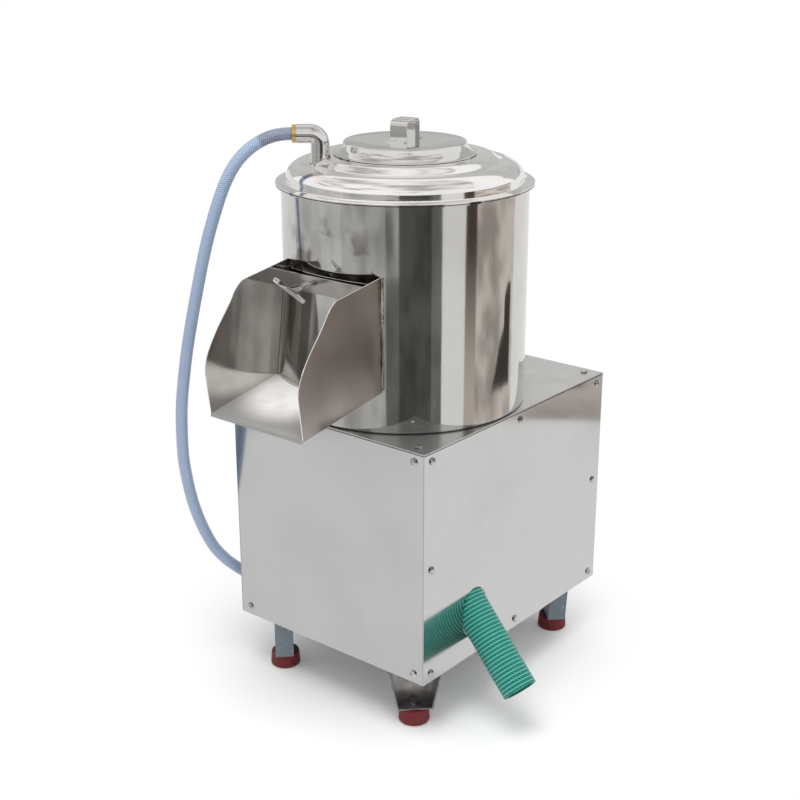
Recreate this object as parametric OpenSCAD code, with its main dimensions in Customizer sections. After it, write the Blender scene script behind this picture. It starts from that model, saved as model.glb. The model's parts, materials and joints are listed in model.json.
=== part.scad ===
// Electric potato peeler: a square base on four legs carries an abrasive drum with a discharge
// chute and a clamped door, a domed cover with a water inlet and a lift-off lid.
// Heights are measured from the floor, and the base is centred left to right.

/* [Base] */
// Width of the base over its side panels
base_w = 406; // [400:1:412]
// Depth of the base from front panel to rear panel
base_d = 508; // [500:1:530]
// Height of the base box
base_h = 396; // [392:1:410]
// Clear height between the floor and the base box
ground_gap = 104; // [98:1:120]
// Thickness of the side, front and rear panels
panel_t = 1.2; // [1:0.1:1.6]
// Thickness of the top plate
top_t = 2; // [1.5:0.1:3]
// Width of the legs of the frame's angle bars
angle_w = 30; // [29:1:34]
// Thickness of the frame's angle bars
angle_t = 3; // [2.5:0.1:4]
// Dark seam between neighbouring sheets
seam = 0.4; // [0.3:0.1:0.8]

/* [Panel screws] */
// Diameter of the panel screws' shanks
screw_d = 6; // [5:0.5:6]
// Diameter of the pan heads
screw_head_d = 12; // [11:0.5:13]
// Height of the pan heads
screw_head_h = 3.5; // [3:0.1:4]
// Length of the shanks
screw_l = 10; // [8:1:14]
// Distance of the screws from a panel's upright edges
screw_side = 19; // [18:1:22]
// Distance of the screws from a panel's level edges
screw_level = 15.5; // [15:0.5:18]
// Distance of the top plate's screws from its sides
top_screw_side = 27; // [22:1:28]

/* [Legs and feet] */
// Distance of the foot centres from the side panels
foot_side = 56; // [54:1:60]
// Distance of the foot centres from the front and rear panels
foot_end = 47; // [46:1:52]
// Width of a leg's web at the base box
leg_top_w = 92; // [86:1:96]
// Width of a leg's web at the foot
leg_low_w = 60; // [56:1:66]
// Depth of a leg's flanges
leg_depth = 32; // [30:1:36]
// Distance of a leg's web inward of the foot centre
leg_in = 14; // [13:1:16]
// Sheet thickness of the legs
leg_t = 2.5; // [2:0.1:3]
// Diameter of the rubber feet at the floor
foot_d = 52; // [48:1:54]
// Diameter of the rubber feet at the top
foot_top_d = 49; // [46:1:50]
// Height of the rubber feet
foot_h = 27; // [24:1:30]
// Diameter of the foot bolts
foot_bolt_d = 8; // [6:1:8]
// Width across the flats of the foot bolts' heads
foot_head_af = 13; // [12:1:14]

/* [Drum] */
// Outside diameter of the drum
drum_d = 400; // [396:1:402]
// Height of the drum's rim above the top plate
drum_h = 360; // [355:1:380]
// Sheet thickness of the drum
drum_t = 1.5; // [1.2:0.1:2]
// Distance of the drum behind the front panel
drum_back = 4; // [3:1:10]
// How far the rim flange stands out of the drum
rim_out = 8; // [7:1:9]
// Thickness of the rim flange
rim_t = 1.5; // [1.2:0.1:2]
// Thickness of the drum's floor pan
pan_t = 3; // [2:0.5:4]
// Thickness of the abrasive wall liner
liner_t = 7; // [5:0.5:8]
// Height of the liner's lower edge above the top plate
liner_low = 64; // [63:1:68]
// Distance of the liner's top edge below the rim
liner_drop = 15; // [10:1:25]

/* [Chute] */
// Width of the chute over its cheeks
chute_w = 194; // [188:1:200]
// Sheet thickness of the chute
chute_t = 1.5; // [1.2:0.1:2]
// How far the cheeks reach in front of the front panel
chute_reach = 159; // [150:1:165]
// Height of the cheeks' front lower corner above the top plate
cheek_low = 40.5; // [38:0.5:43]
// Height of the cheeks' rear upper corner above their front lower corner
cheek_rise = 211; // [205:1:215]
// Slope of the chute's floor
chute_slope = 9; // [8:0.5:10]
// Depth of the chute's front lip
lip_h = 5; // [4:0.5:7]
// Height of the stiffening crease in the chute's floor
crease_rise = 2.5; // [1:0.1:3]
// Distance of the lintel bar in front of the front panel
lintel_out = 18; // [18:0.5:19]
// Thickness of the lintel bar
lintel_t = 2.5; // [2:0.1:2.5]
// Height of the lintel bar
lintel_h = 26; // [24:1:28]
// Height of the lintel's lower edge above the top plate
lintel_low = 220; // [218:1:222]

/* [Door] */
// Radius of the door's curve
door_r = 200; // [196:1:210]
// Thickness of the door
door_t = 1.5; // [1.2:0.1:1.8]
// Distance of the door's foot in front of the front panel
door_out = 29; // [28.5:0.5:29.5]
// Height of the door's foot line above the top plate
door_low = 60; // [59:0.5:61]
// Length of the door along its lean
door_len = 182; // [178:1:184]
// Lean of the door towards the drum
door_lean = 8.1; // [8:0.1:8.3]
// Gap between the door and the chute's floor
door_floor_gap = 0.8; // [0.6:0.1:1.2]
// Gap between the door's edges and the cheeks
door_side_gap = 0.8; // [0.6:0.1:1.2]
// Width of the guide strips behind the door
guide_w = 12; // [10:1:14]
// Thickness of the guide strips
guide_t = 2; // [1.5:0.1:2]

/* [Door clamp] */
// Diameter of the clamp screw
clamp_d = 9.6; // [9:0.1:10]
// Height of the clamp screw above the top plate
clamp_z = 236; // [235:0.5:237]
// Distance of the tee bar in front of the front panel
bar_out = 71; // [68:1:84]
// Length of the tee bar
bar_len = 63; // [58:1:70]
// Diameter of the tee bar
bar_d = 7; // [6:0.5:7.5]
// Tilt of the tee bar
bar_tilt = 23; // [0:1:90]
// Diameter of the pressure pad
pad_d = 14; // [12:1:15]
// Thickness of the pressure pad
pad_t = 2.5; // [2.4:0.1:2.7]
// Diameter of the screw's tip in the pad
tip_d = 6; // [5:0.5:7]

/* [Cover] */
// Thickness of the rim gasket
gasket_t = 1; // [0.8:0.1:1.5]
// Sheet thickness of the cover
cover_t = 1.5; // [1.2:0.1:1.8]
// Distance of the cover's wall inward of the drum's
cover_wall_in = 9; // [8:1:11]
// Height of the cover's upright wall
cover_wall_h = 10; // [8:1:12]
// Distance of the ridge, where the rounded shoulder ends, inward of the drum's wall
ridge_in = 42; // [40:1:44]
// Height of that ridge above the cover's flange
ridge_h = 34; // [32:1:36]
// Distance of the ledge round the feed opening inward of the drum's wall
ledge_in = 64; // [63:1:66]
// Height of the ledge above the cover's flange
ledge_h = 44; // [42:1:46]
// Distance of the feed opening's neck inward of the drum's wall
neck_in = 98; // [98:1:100]
// Height of the neck above the ledge
neck_h = 7; // [5:0.5:8]

/* [Lid] */
// How far the lid's flange stands out of the neck
lid_out = 13; // [12:1:16]
// How far the lid's wall stands out of the neck at the flange
lid_wall_out = 10; // [9:1:11]
// Distance of the edge of the lid's flat top inward of the neck
lid_top_in = 5; // [3:1:7]
// Height of the lid over its flange
lid_h = 19.5; // [18:0.5:22]
// Sheet thickness of the lid
lid_t = 1.5; // [1.2:0.1:1.8]
// Gap between the lid's flange and the ledge
lid_gap = 0.6; // [0.4:0.1:0.8]
// Height of the handle above the lid
handle_h = 34.5; // [30:0.5:38]
// Span of the handle between its uprights
handle_span = 48; // [44:1:54]
// Width of the handle's strap
handle_w = 29; // [26:1:32]
// Thickness of the handle's strap
handle_t = 1.5; // [1.5:0.1:2.5]
// Length of the handle's feet
handle_foot = 12; // [10:1:16]
// Radius of the handle's bends
handle_bend = 10; // [8:1:12]
// Turn of the handle about the lid's axis
handle_turn = 13; // [0:1:30]

/* [Water inlet] */
// Distance of the inlet inward of the drum's wall
inlet_in = 60.5; // [59.5:0.5:62]
// Direction of the inlet's place round the drum
inlet_place = 237; // [230:1:245]
// Direction in which the elbow points
inlet_turn = 221; // [215:1:225]
// Outside diameter of the stub on the cover
stub_d = 31; // [30:0.5:32]
// Outside diameter of the elbow
elbow_d = 29.5; // [29:0.5:30]
// Bore of the elbow
elbow_bore_d = 23; // [20:0.5:24]
// Radius of the elbow's bend
elbow_bend = 16; // [15.5:0.5:20]
// Height of the elbow's outlet above the rim
outlet_h = 82.5; // [80:0.5:85]
// Length of the outlet from the elbow's upright axis
outlet_l = 36; // [34:1:40]
// Diameter of the brass collar
collar_d = 28; // [26:0.5:29]
// Length of the brass collar
collar_l = 7.4; // [6:0.1:9]
// Bore of the brass nipple
nipple_bore_d = 12; // [10:0.5:13]
// Outside diameter of the water hose
hose_d = 20; // [18:0.5:22]
// Diameter of the tap connector's nut
tap_nut_d = 32; // [30:1:34]
// Length of the tap connector's nut
tap_nut_l = 18; // [16:1:22]
// Length of the tap connector's sleeve
tap_sleeve_l = 22; // [18:1:26]
// Diameter of the tap connector's sleeve
tap_sleeve_d = 26; // [24:1:28]
// Thread bore of the tap connector
tap_bore_d = 24; // [22:1:25]

/* [Drain hose] */
// Outside diameter of the drain hose over its ribs
drain_d = 60; // [58:0.5:62]
// Diameter between the ribs
drain_valley_d = 58.6; // [57:0.2:59.4]
// Bore of the drain hose
drain_bore_d = 50; // [48:0.5:51]
// Distance of the hose's centre from the front panel where it leaves the base
drain_in = 134; // [132:1:140]
// Height of that point above the floor
drain_up = 183; // [180:1:190]
// Fall of the hose outside the base below the level
drain_fall = 42; // [40:1:45]
// Turn of the hose outside the base towards the front
drain_turn = 10; // [8:1:12]
// Length of the hose outside the base
drain_out = 148; // [130:1:160]
// Radius of the hose's bend inside the base
drain_bend = 250; // [248:1:256]
// Straight length inside the panel before the bend
drain_lead = 15; // [12:1:18]
// Distance between ribs
rib_pitch = 6.5; // [6:0.25:8]
// Wall of the waste spigot
spigot_t = 1.8; // [1.5:0.1:2.5]
// Length of the spigot inside the hose
spigot_l = 36; // [30:1:42]
// Width of the hose clip
clip_w = 12; // [10:1:16]

/* [Rotor] */
// Diameter of the main shaft
shaft_d = 25; // [24:0.5:25]
// Diameter of the shaft's threaded end
shaft_end_d = 20; // [18:0.5:20]
// Gap between the abrasive disc and the liner
disc_gap = 4.2; // [3.5:0.1:6]
// Height of the abrasive disc's face above the top plate
disc_top = 58; // [56:0.5:60]
// Thickness of the abrasive layer
abrasive_t = 8; // [7:0.5:9]
// Thickness of the disc's metal plate
plate_t = 4; // [3:0.5:5]
// Number of waves on the abrasive disc
wave_count = 3; // [2:1:4]
// Width of a wave on the abrasive disc
wave_w = 60; // [50:1:70]
// Height of a wave above the disc's face
wave_h = 3; // [2:0.5:4]

/* [Bearing housing] */
// Diameter of the bearing housing
housing_d = 80; // [76:1:84]
// Length of the bearing housing below the top plate
housing_l = 98; // [94:1:100]
// Diameter of the housing's flange
housing_flange_d = 130; // [126:1:134]
// Thickness of the housing's flange
housing_flange_t = 10; // [8:1:12]
// Outside diameter of the housing's upper boss
boss_d = 64; // [62:1:66]
// Height of the boss above the top plate
boss_h = 30; // [29:0.5:31]
// Outside diameter of the bearings
bearing_d = 52; // [50:1:53]
// Width of the bearings
bearing_w = 15; // [14:1:16]
// Thickness of the shaft seal
seal_t = 7; // [6:0.5:7]

/* [Motor and belt] */
// Share of the depth behind the drum's axis at which the motor stands
motor_share = 0.645; // [0.64:0.005:0.65]
// Diameter of the motor's body as a share of its distance to the rear panel
motor_d_share = 1.26; // [1.2:0.01:1.28]
// Length of the motor's body
motor_l = 190; // [180:1:192]
// Length of the fan cowl
cowl_l = 34; // [30:1:36]
// Diameter of the motor's shaft
motor_shaft_d = 19; // [18:0.5:20]
// Width of the motor bracket
bracket_w = 190; // [184:1:200]
// Height of the motor bracket
bracket_h = 150; // [148:1:152]
// Thickness of the motor bracket
bracket_t = 4; // [3:0.5:5]
// Pitch radius of the driven pulley
driven_r = 84; // [82:0.5:85]
// Pitch radius of the motor pulley
drive_r = 24; // [23:0.5:26]
// Distance of the belt's middle below the top plate
belt_down = 129; // [127:0.5:131]
// Width of the belt at its back
belt_w = 13; // [12:0.5:13]
// Depth of the belt's section
belt_h = 8; // [7:0.5:8]

/* [Switch and gland] */
// Width of the switch box on the rear panel
switch_w = 56; // [50:1:64]
// Height of the switch box
switch_h = 84; // [76:1:90]
// Depth of the switch box
switch_t = 18; // [17:1:22]
// Height of the switch's centre below the top plate
switch_down = 150; // [130:5:200]
// Distance of the switch and gland from the middle of the rear panel
switch_side = 110; // [90:1:130]
// Width of the rocker
rocker_w = 22; // [18:1:26]
// Length of the rocker
rocker_l = 34; // [30:1:38]
// Height of the cable gland's centre below the top plate
gland_down = 330; // [300:5:340]
// Diameter of the cable gland
gland_d = 24; // [22:1:28]
// How far the gland stands out of the rear panel
gland_out = 24; // [23:1:30]

/* [Hidden] */
$fn = 72;

// Overrun of every cut
over = 1;
// Clearance of parts that don't run on each other
fit_gap = 0.3;
// Radial clearance of shafts and screws
run_gap = 0.06;
// Radial clearance of welded and pressed seats
weld_gap = 0.05;
// Steps in a rounded outline
arc_steps = 10;

drum_r = drum_d/2;
drum_inset = drum_r + drum_back;
base_top = ground_gap + base_h;
front_y = (chute_reach - base_d - gland_out)/2;
axis_y = front_y + drum_inset;
in_w = base_w - 2*panel_t;
panel_h = base_h - top_t - seam;

drum_in_r = drum_r - drum_t;
rim_r = drum_r + rim_out;
liner_r = drum_in_r - fit_gap;
disc_d = 2*(liner_r - liner_t - disc_gap);
chute_half = chute_w/2;
chute_in = chute_half - chute_t;
window_half = chute_in - 2*chute_t;
window_high = lintel_low + lintel_h*0.6;
drum_line = drum_inset - sqrt(drum_r*drum_r - chute_half*chute_half);
cheek_run = chute_reach + drum_line;
// Place of the cheeks' front lower corner along the run
cheek_toe_share = 0.957;
floor_front = drum_line - cheek_run*cheek_toe_share;
floor_back = drum_line + over;

boss_r = boss_d/2;
shaft_r = shaft_d/2;
shaft_end_r = shaft_end_d/2;
bearing_r = bearing_d/2;
housing_bolt_d = 8;
housing_bolt_pcd = (housing_d + housing_flange_d)/2;
seal_down = 2;

drain_r = drain_d/2;
drain_bore_r = drain_bore_d/2;
hose_sides = 8;
drain_dir = [cos(drain_turn), -sin(drain_turn)];
drain_arc = 90 - drain_fall;
drain_arc_h = -drain_lead*cos(drain_fall) - drain_bend*(1 - cos(drain_arc));
drain_arc_z = drain_up - base_top + drain_lead*sin(drain_fall) + drain_bend*sin(drain_arc);
spigot_x = base_w/2 + drain_arc_h*drain_dir[0];
spigot_y = drain_in + drain_arc_h*drain_dir[1];
spigot_r = drain_bore_r*cos(180/hose_sides) - fit_gap;
spigot_in_r = spigot_r - spigot_t;
spigot_flange_t = 3;
drain_top = -top_t - spigot_flange_t;
drain_drop = drain_top - drain_arc_z;
drain_bend_l = drain_bend*drain_arc*PI/180;
drain_l = drain_drop + drain_bend_l + drain_lead + drain_out;

elbow_r = elbow_d/2;
elbow_bore_r = elbow_bore_d/2;
stub_r = stub_d/2;
inlet_r = drum_r - inlet_in;
neck_r = drum_r - neck_in;
inlet_x = inlet_r*cos(inlet_place);
inlet_y = inlet_r*sin(inlet_place);
cover_z = drum_h + gasket_t + fit_gap;
cover_rise = cover_z - drum_h;
collar_r = collar_d/2;
nipple_l = 12;

motor_y = drum_inset + motor_share*(base_d - drum_inset);
motor_offset = motor_y - drum_inset;
motor_d = motor_d_share*(base_d - motor_y);
bracket_gap = 6*fit_gap;
bracket_d = 2*(base_d - motor_y - panel_t - angle_w - bracket_gap);
belt_z = -top_t - belt_down;
belt_reach = sqrt(motor_offset*motor_offset - (driven_r - drive_r)*(driven_r - drive_r));
belt_angle = acos((driven_r - drive_r)/motor_offset);
motor_top = -top_t - bracket_h;
pulley_w = belt_w + 9*seam;

lid_z = cover_z + ledge_h + lid_gap;

// Tools shared by the pieces

// Everything measured from the front panel and the top plate
module on_base() translate([0, front_y, base_top]) children();

// Everything measured from the drum's axis and the top plate
module on_drum() translate([0, axis_y, base_top]) children();

// A hollow cylinder
module ring(r_out, r_in, h) {
    difference() {
        cylinder(r = r_out, h = h);
        translate([0, 0, -over]) cylinder(r = r_in, h = h + 2*over);
    }
}

// Points along an elliptic arc
function arc(cx, cy, rx, ry, from, to, n = arc_steps) =
    [for (i = [0:n]) let (a = from + (to - from)*i/n) [cx + rx*cos(a), cy + ry*sin(a)]];

// Points along a cubic curve with four controls
function curve(p, q, r, s, n = arc_steps) =
    [for (i = [0:n]) let (t = i/n, u = 1 - t) u*u*u*p + 3*u*u*t*q + 3*u*t*t*r + t*t*t*s];

function unit(v) = v/norm(v);

// Height of the chute floor's upper face at a distance from the front panel
function floor_z(y) = cheek_low + chute_t + (y - floor_front)*tan(chute_slope);

// Base box

// Sheets stand inside the drawn box, so the screws share one list of places
side_rows = [-screw_level, -base_h/2, -base_h + screw_level];
side_columns = [screw_side, base_d/2, base_d - screw_side];
side_places = [for (i = [0:2]) for (j = [0:2]) if (i != 1 || j != 1) [side_columns[i], side_rows[j]]];
end_places = [for (s = [-1, 1]) for (j = [0, 2]) [s*(base_w/2 - screw_side - panel_t), side_rows[j]]];
top_places = [for (s = [-1, 1]) for (y = [screw_side, base_d - screw_side])
    [s*(base_w/2 - top_screw_side), y]];

// Puts its child at every screw, with the screw's head towards +Z of the child
module at_screws() {
    for (s = [-1, 1]) for (p = side_places)
        translate([s*base_w/2, p[0], p[1]]) rotate([0, s*90, 0]) children();
    for (p = end_places) {
        translate([p[0], 0, p[1]]) rotate([90, 0, 0]) children();
        translate([p[0], base_d, p[1]]) rotate([-90, 0, 0]) children();
    }
    for (p = top_places) translate([p[0], p[1], 0]) children();
}

module screw_holes() {
    hole_l = screw_l + over;
    at_screws() translate([0, 0, -hole_l]) cylinder(r = screw_d/2 + fit_gap, h = hole_l + over);
}

module panel_screw() {
    dome = screw_head_h/2;
    rotate_extrude() polygon(concat([[0, -screw_l], [screw_d/2, -screw_l], [screw_d/2, 0],
        [screw_head_d/2, 0]], arc(0, dome, screw_head_d/2, dome, 0, 90, arc_steps/2)));
}

module panel_screws() {
    color("lightgray") on_base() at_screws() panel_screw();
}

module top_plate() {
    color("silver") on_base() difference() {
        translate([-base_w/2, 0, -top_t]) cube([base_w, base_d, top_t]);
        translate([0, drum_inset, -top_t - over]) {
            cylinder(r = boss_r + fit_gap, h = top_t + 2*over);
            at_housing_bolts() cylinder(r = housing_bolt_d/2 + fit_gap, h = top_t + 2*over);
        }
        translate([spigot_x, spigot_y, -top_t - over])
            cylinder(r = spigot_r + fit_gap, h = top_t + 2*over);
        screw_holes();
    }
}

module end_panel(y) {
    wide = in_w - 2*seam;
    color("lightslategray") on_base() difference() {
        translate([-wide/2, y, -base_h]) cube([wide, panel_t, panel_h]);
        screw_holes();
        translate([0, base_d, 0]) at_rear_fittings();
    }
}

// Cable and lead holes of the rear panel
module at_rear_fittings() {
    translate([-switch_side, over, -gland_down]) rotate([90, 0, 0])
        cylinder(r = gland_d/4 + fit_gap, h = panel_t + 2*over);
    translate([-switch_side, over, -switch_down]) rotate([90, 0, 0])
        cylinder(r = gland_d/4, h = panel_t + 2*over);
}

module panel_front() end_panel(0);

module panel_rear() end_panel(base_d - panel_t);

module panel_left() {
    color("slategray") on_base() difference() {
        translate([-base_w/2, 0, -base_h]) cube([panel_t, base_d, panel_h]);
        screw_holes();
    }
}

// The right panel has an oval hole, as the drain hose leaves it at a slant
module panel_right() {
    hole_r = drain_r + fit_gap*4;
    hole_rise = drain_r/cos(drain_fall) - drain_r + fit_gap*4;
    color("slategray") on_base() difference() {
        translate([base_w/2 - panel_t, 0, -base_h]) cube([panel_t, base_d, panel_h]);
        screw_holes();
        translate([base_w/2 - panel_t - over, drain_in, drain_up - base_top]) {
            for (s = [-1, 1]) translate([0, 0, s*hole_rise]) rotate([0, 90, 0])
                cylinder(r = hole_r, h = panel_t + 2*over);
            translate([0, -hole_r, -hole_rise]) cube([panel_t + 2*over, 2*hole_r, 2*hole_rise]);
        }
    }
}

// An upright angle bar in each corner between the frame's two rings
module frame_posts() {
    post_h = base_h - top_t - 2*angle_t;
    color("dimgray") on_base() difference() {
        for (s = [0, 1]) for (e = [0, 1])
            translate([0, e*base_d, -base_h + angle_t]) mirror([s, 0, 0]) mirror([0, e, 0])
                translate([-in_w/2, panel_t, 0]) difference() {
                    cube([angle_w, angle_w, post_h]);
                    translate([angle_t, angle_t, -over]) cube([angle_w, angle_w, post_h + 2*over]);
                }
        screw_holes();
    }
}

// A welded ring of angle bars, its level flanges up against z = 0
module frame_ring() {
    web_l = in_w - 2*angle_w;
    side_l = base_d - 2*panel_t - 2*angle_w;
    for (e = [0, 1]) translate([0, e*base_d, 0]) mirror([0, e, 0]) {
        translate([-in_w/2, panel_t, -angle_t]) cube([in_w, angle_w, angle_t]);
        translate([-web_l/2, panel_t, -angle_w]) cube([web_l, angle_t, angle_w]);
    }
    for (s = [0, 1]) mirror([s, 0, 0]) {
        translate([-in_w/2, panel_t + angle_w, -angle_t]) cube([angle_w, side_l, angle_t]);
        translate([-in_w/2, panel_t + angle_w, -angle_w]) cube([angle_t, side_l, angle_w]);
    }
}

module rails_top() {
    color("dimgray") on_base() difference() {
        translate([0, 0, -top_t]) frame_ring();
        screw_holes();
    }
}

module rails_bottom() {
    color("dimgray") on_base() difference() {
        translate([0, 0, -base_h]) mirror([0, 0, 1]) frame_ring();
        screw_holes();
    }
}

// Legs and feet

// Puts its child over a foot, with the child's +X outward along the base's diagonal
module at_corner(s, e) {
    translate([s*(base_w/2 - foot_side), front_y + (e > 0 ? base_d - foot_end : foot_end), 0])
        rotate([0, 0, atan2(e, s)]) children();
}

// A folded sheet leg: web inward, two flanges that taper to the foot, and a sole plate
module leg(s, e) {
    top_half = leg_top_w/2;
    low_half = leg_low_w/2;
    sole = foot_h + leg_t;
    color("slategray") at_corner(s, e) difference() {
        translate([-leg_in, 0, 0]) rotate([90, 0, 90]) {
            linear_extrude(leg_t) polygon([[-top_half, ground_gap], [top_half, ground_gap],
                [low_half, foot_h], [-low_half, foot_h]]);
            linear_extrude(leg_depth) polygon([[-top_half, ground_gap],
                [-top_half + leg_t, ground_gap], [-low_half + leg_t, sole], [low_half - leg_t, sole],
                [top_half - leg_t, ground_gap], [top_half, ground_gap],
                [low_half, foot_h], [-low_half, foot_h]]);
        }
        translate([0, 0, foot_h - over]) cylinder(r = foot_bolt_d/2 + fit_gap, h = leg_t + 2*over);
    }
}

module leg_fl() leg(-1, -1);

module leg_fr() leg(1, -1);

module leg_rl() leg(-1, 1);

module leg_rr() leg(1, 1);

module foot(s, e) {
    low_r = foot_d/2;
    top_r = foot_top_d/2;
    edge = foot_h/7;
    color("maroon") at_corner(s, e) difference() {
        rotate_extrude() polygon(concat([[0, 0]], arc(low_r - edge, edge, edge, edge, -90, 0),
            arc(top_r - edge, foot_h - edge, edge, edge, 0, 90), [[0, foot_h]]));
        translate([0, 0, foot_h/4]) cylinder(r = foot_bolt_d/2 + fit_gap, h = foot_h);
    }
}

module foot_fl() foot(-1, -1);

module foot_fr() foot(1, -1);

module foot_rl() foot(-1, 1);

module foot_rr() foot(1, 1);

// A hexagon bolt with its head on z = 0
module hex_bolt(d, af, l) {
    head_h = d*0.65;
    cylinder(r = af/2/cos(30), h = head_h, $fn = 6);
    translate([0, 0, -l]) cylinder(r = d/2, h = l + head_h/2);
}

module foot_bolts() {
    washer_t = leg_t*0.6;
    color("gainsboro") for (s = [-1, 1]) for (e = [-1, 1]) at_corner(s, e)
        translate([0, 0, foot_h + leg_t]) {
            cylinder(r = foot_head_af*0.6, h = washer_t);
            translate([0, 0, washer_t]) hex_bolt(foot_bolt_d, foot_head_af, foot_h*0.6);
        }
}

// Drum

// The discharge window through the drum's front, between the cheeks
module window(half, low, high) {
    translate([-half, -rim_r - over, low]) cube([2*half, rim_r, high - low]);
}

module drum_shell() {
    color("silver") on_drum() difference() {
        rotate_extrude() polygon([[drum_in_r, 0], [drum_r, 0], [drum_r, drum_h - rim_t],
            [rim_r, drum_h - rim_t], [rim_r, drum_h], [drum_in_r, drum_h]]);
        window(window_half, liner_low, window_high);
    }
}

module drum_pan() {
    color("gray") on_drum() difference() {
        cylinder(r = liner_r, h = pan_t);
        translate([0, 0, -over]) {
            cylinder(r = boss_r + fit_gap, h = pan_t + 2*over);
            translate([spigot_x, spigot_y - drum_inset, 0])
                cylinder(r = spigot_r + 2*weld_gap, h = pan_t + 2*over);
        }
    }
}

module wall_liner() {
    color("darkslategray") on_drum() difference() {
        translate([0, 0, liner_low])
            ring(liner_r, liner_r - liner_t, drum_h - liner_drop - liner_low);
        window(window_half, 0, window_high);
    }
}

// Chute

// The cheek's outline: a curved shoulder, a rounded nose and a straight toe, in shares of its
// run towards the front and of its rise
shoulder_shares = [[0.524, 0.933], [0.605, 0.923], [0.657, 0.836], [0.706, 0.776]];
nose_shares = [[0.706, 0.776], [0.787, 0.677], [1, 0.505], [1, 0.324]];
cheek_shares = concat([[0, 1]],
    curve(shoulder_shares[0], shoulder_shares[1], shoulder_shares[2], shoulder_shares[3]),
    curve(nose_shares[0], nose_shares[1], nose_shares[2], nose_shares[3]),
    [[cheek_toe_share, 0]]);

module cheek(x) {
    back = floor_back + chute_t;
    outline = concat([[back, cheek_low + cheek_rise]],
        [for (s = cheek_shares) [drum_line - s[0]*cheek_run, cheek_low + s[1]*cheek_rise]],
        [[back, floor_z(back) - chute_t]]);
    color("silver") on_base() difference() {
        translate([x, 0, 0]) rotate([90, 0, 90]) linear_extrude(chute_t) polygon(outline);
        drum_clearance();
    }
}

// The space of the drum's wall, which the chute's sheets end against
module drum_clearance() {
    translate([0, drum_inset, 0]) cylinder(r = drum_r + weld_gap, h = drum_h);
}

module cheek_left() cheek(-chute_half);

module cheek_right() cheek(chute_in);

// The floor plate slopes to the front, with a crease from the door's corner to the far front
// corner and a lip at the front
module chute_floor() {
    crease = [[-chute_in, -door_out*0.3], [chute_in, floor_front + lip_h*2]];
    outline = [[-chute_in, floor_back], [chute_in, floor_back], crease[1], [chute_in, floor_front],
        [-chute_in, floor_front], crease[0]];
    rises = [0, 0, crease_rise, 0, 0, crease_rise];
    upper = [for (i = [0:5]) [outline[i][0], outline[i][1], floor_z(outline[i][1]) + rises[i]]];
    lower = [for (p = upper) [p[0], p[1], p[2] - chute_t]];
    color("silver") on_base() {
        difference() {
            polyhedron(points = concat(upper, lower), faces = concat(
                [[0, 1, 5], [1, 2, 5], [2, 4, 5], [2, 3, 4]],
                [[11, 7, 6], [11, 8, 7], [11, 10, 8], [10, 9, 8]],
                [for (i = [0:5]) for (half = [0, 1]) let (j = (i + 1)%6)
                    half == 0 ? [j + 6, j, i] : [i + 6, j + 6, i]]));
            drum_clearance();
        }
        translate([-chute_in, floor_front - chute_t, floor_z(floor_front) - lip_h])
            cube([2*chute_in, chute_t, lip_h]);
    }
}

module lintel() {
    color("silver") on_base() difference() {
        translate([-chute_in, -lintel_out, lintel_low]) cube([2*chute_in, lintel_t, lintel_h]);
        translate([0, -lintel_out - over, clamp_z]) rotate([-90, 0, 0])
            cylinder(r = clamp_d/2 + run_gap, h = lintel_t + 2*over);
    }
}

// A curved sheet that leans with the door, kept between two distances from the middle
module leaning_sheet(r_out, t, near, far) {
    translate([0, -door_out, door_low]) rotate([-door_lean, 0, 0]) difference() {
        translate([0, door_r, -door_low/4]) ring(r_out, r_out - t, door_len + door_low/4);
        translate([-door_r - over, door_r - sqrt(door_r*door_r - far*far)*0.9, -door_low])
            cube([2*door_r + 2*over, 2*door_r, door_len + 2*door_low]);
        for (s = [0, 1]) mirror([s, 0, 0]) translate([far, -over, -door_low])
            cube([door_r, 2*door_r, door_len + 2*door_low]);
        if (near > 0) translate([-near, -over, -door_low]) cube([2*near, door_r, door_len + 2*door_low]);
    }
}

// The space under a face that runs a gap above the chute's floor
module under_floor(gap) {
    translate([-base_w/2, 0, floor_z(0) + gap]) rotate([chute_slope, 0, 0])
        translate([0, -base_d, -base_d]) cube([base_w, 2*base_d, base_d]);
}

module door_guides() {
    color("gray") on_base() difference() {
        leaning_sheet(door_r - door_t - fit_gap, guide_t, chute_in - guide_w, chute_in);
        under_floor(crease_rise + weld_gap);
        drum_clearance();
    }
}

module door_plate() {
    color("silver") on_base() difference() {
        leaning_sheet(door_r, door_t, 0, chute_in - door_side_gap);
        under_floor(crease_rise + door_floor_gap);
    }
}

// Door clamp: a screw through the lintel, its end saddled for the tee bar, with a pad on its tip
pad_y = -lintel_out + lintel_t + fit_gap;
tip_in = pad_t*0.6;

module clamp_screw() {
    color("gainsboro") on_base() translate([0, 0, clamp_z]) difference() {
        union() {
            translate([0, -bar_out, 0]) rotate([-90, 0, 0])
                cylinder(r = clamp_d/2, h = bar_out - lintel_out + lintel_t);
            translate([0, -lintel_out, 0]) rotate([-90, 0, 0])
                cylinder(r = tip_d/2, h = lintel_t + fit_gap + tip_in - fit_gap);
        }
        translate([0, -bar_out, 0]) rotate([0, bar_tilt, 0]) rotate([0, 90, 0])
            translate([0, 0, -bar_len/2]) cylinder(r = bar_d/2 + weld_gap, h = bar_len);
    }
}

module clamp_bar() {
    color("gainsboro") on_base() translate([0, -bar_out, clamp_z]) rotate([0, bar_tilt, 0])
        rotate([0, 90, 0]) translate([0, 0, -bar_len/2]) cylinder(r = bar_d/2, h = bar_len);
}

module clamp_pad() {
    color("gray") on_base() translate([0, pad_y, clamp_z]) rotate([-90, 0, 0]) difference() {
        cylinder(r = pad_d/2, h = pad_t);
        translate([0, 0, -over]) cylinder(r = tip_d/2 + run_gap, h = tip_in + over);
    }
}

// Bearing housing and rotor

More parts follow.
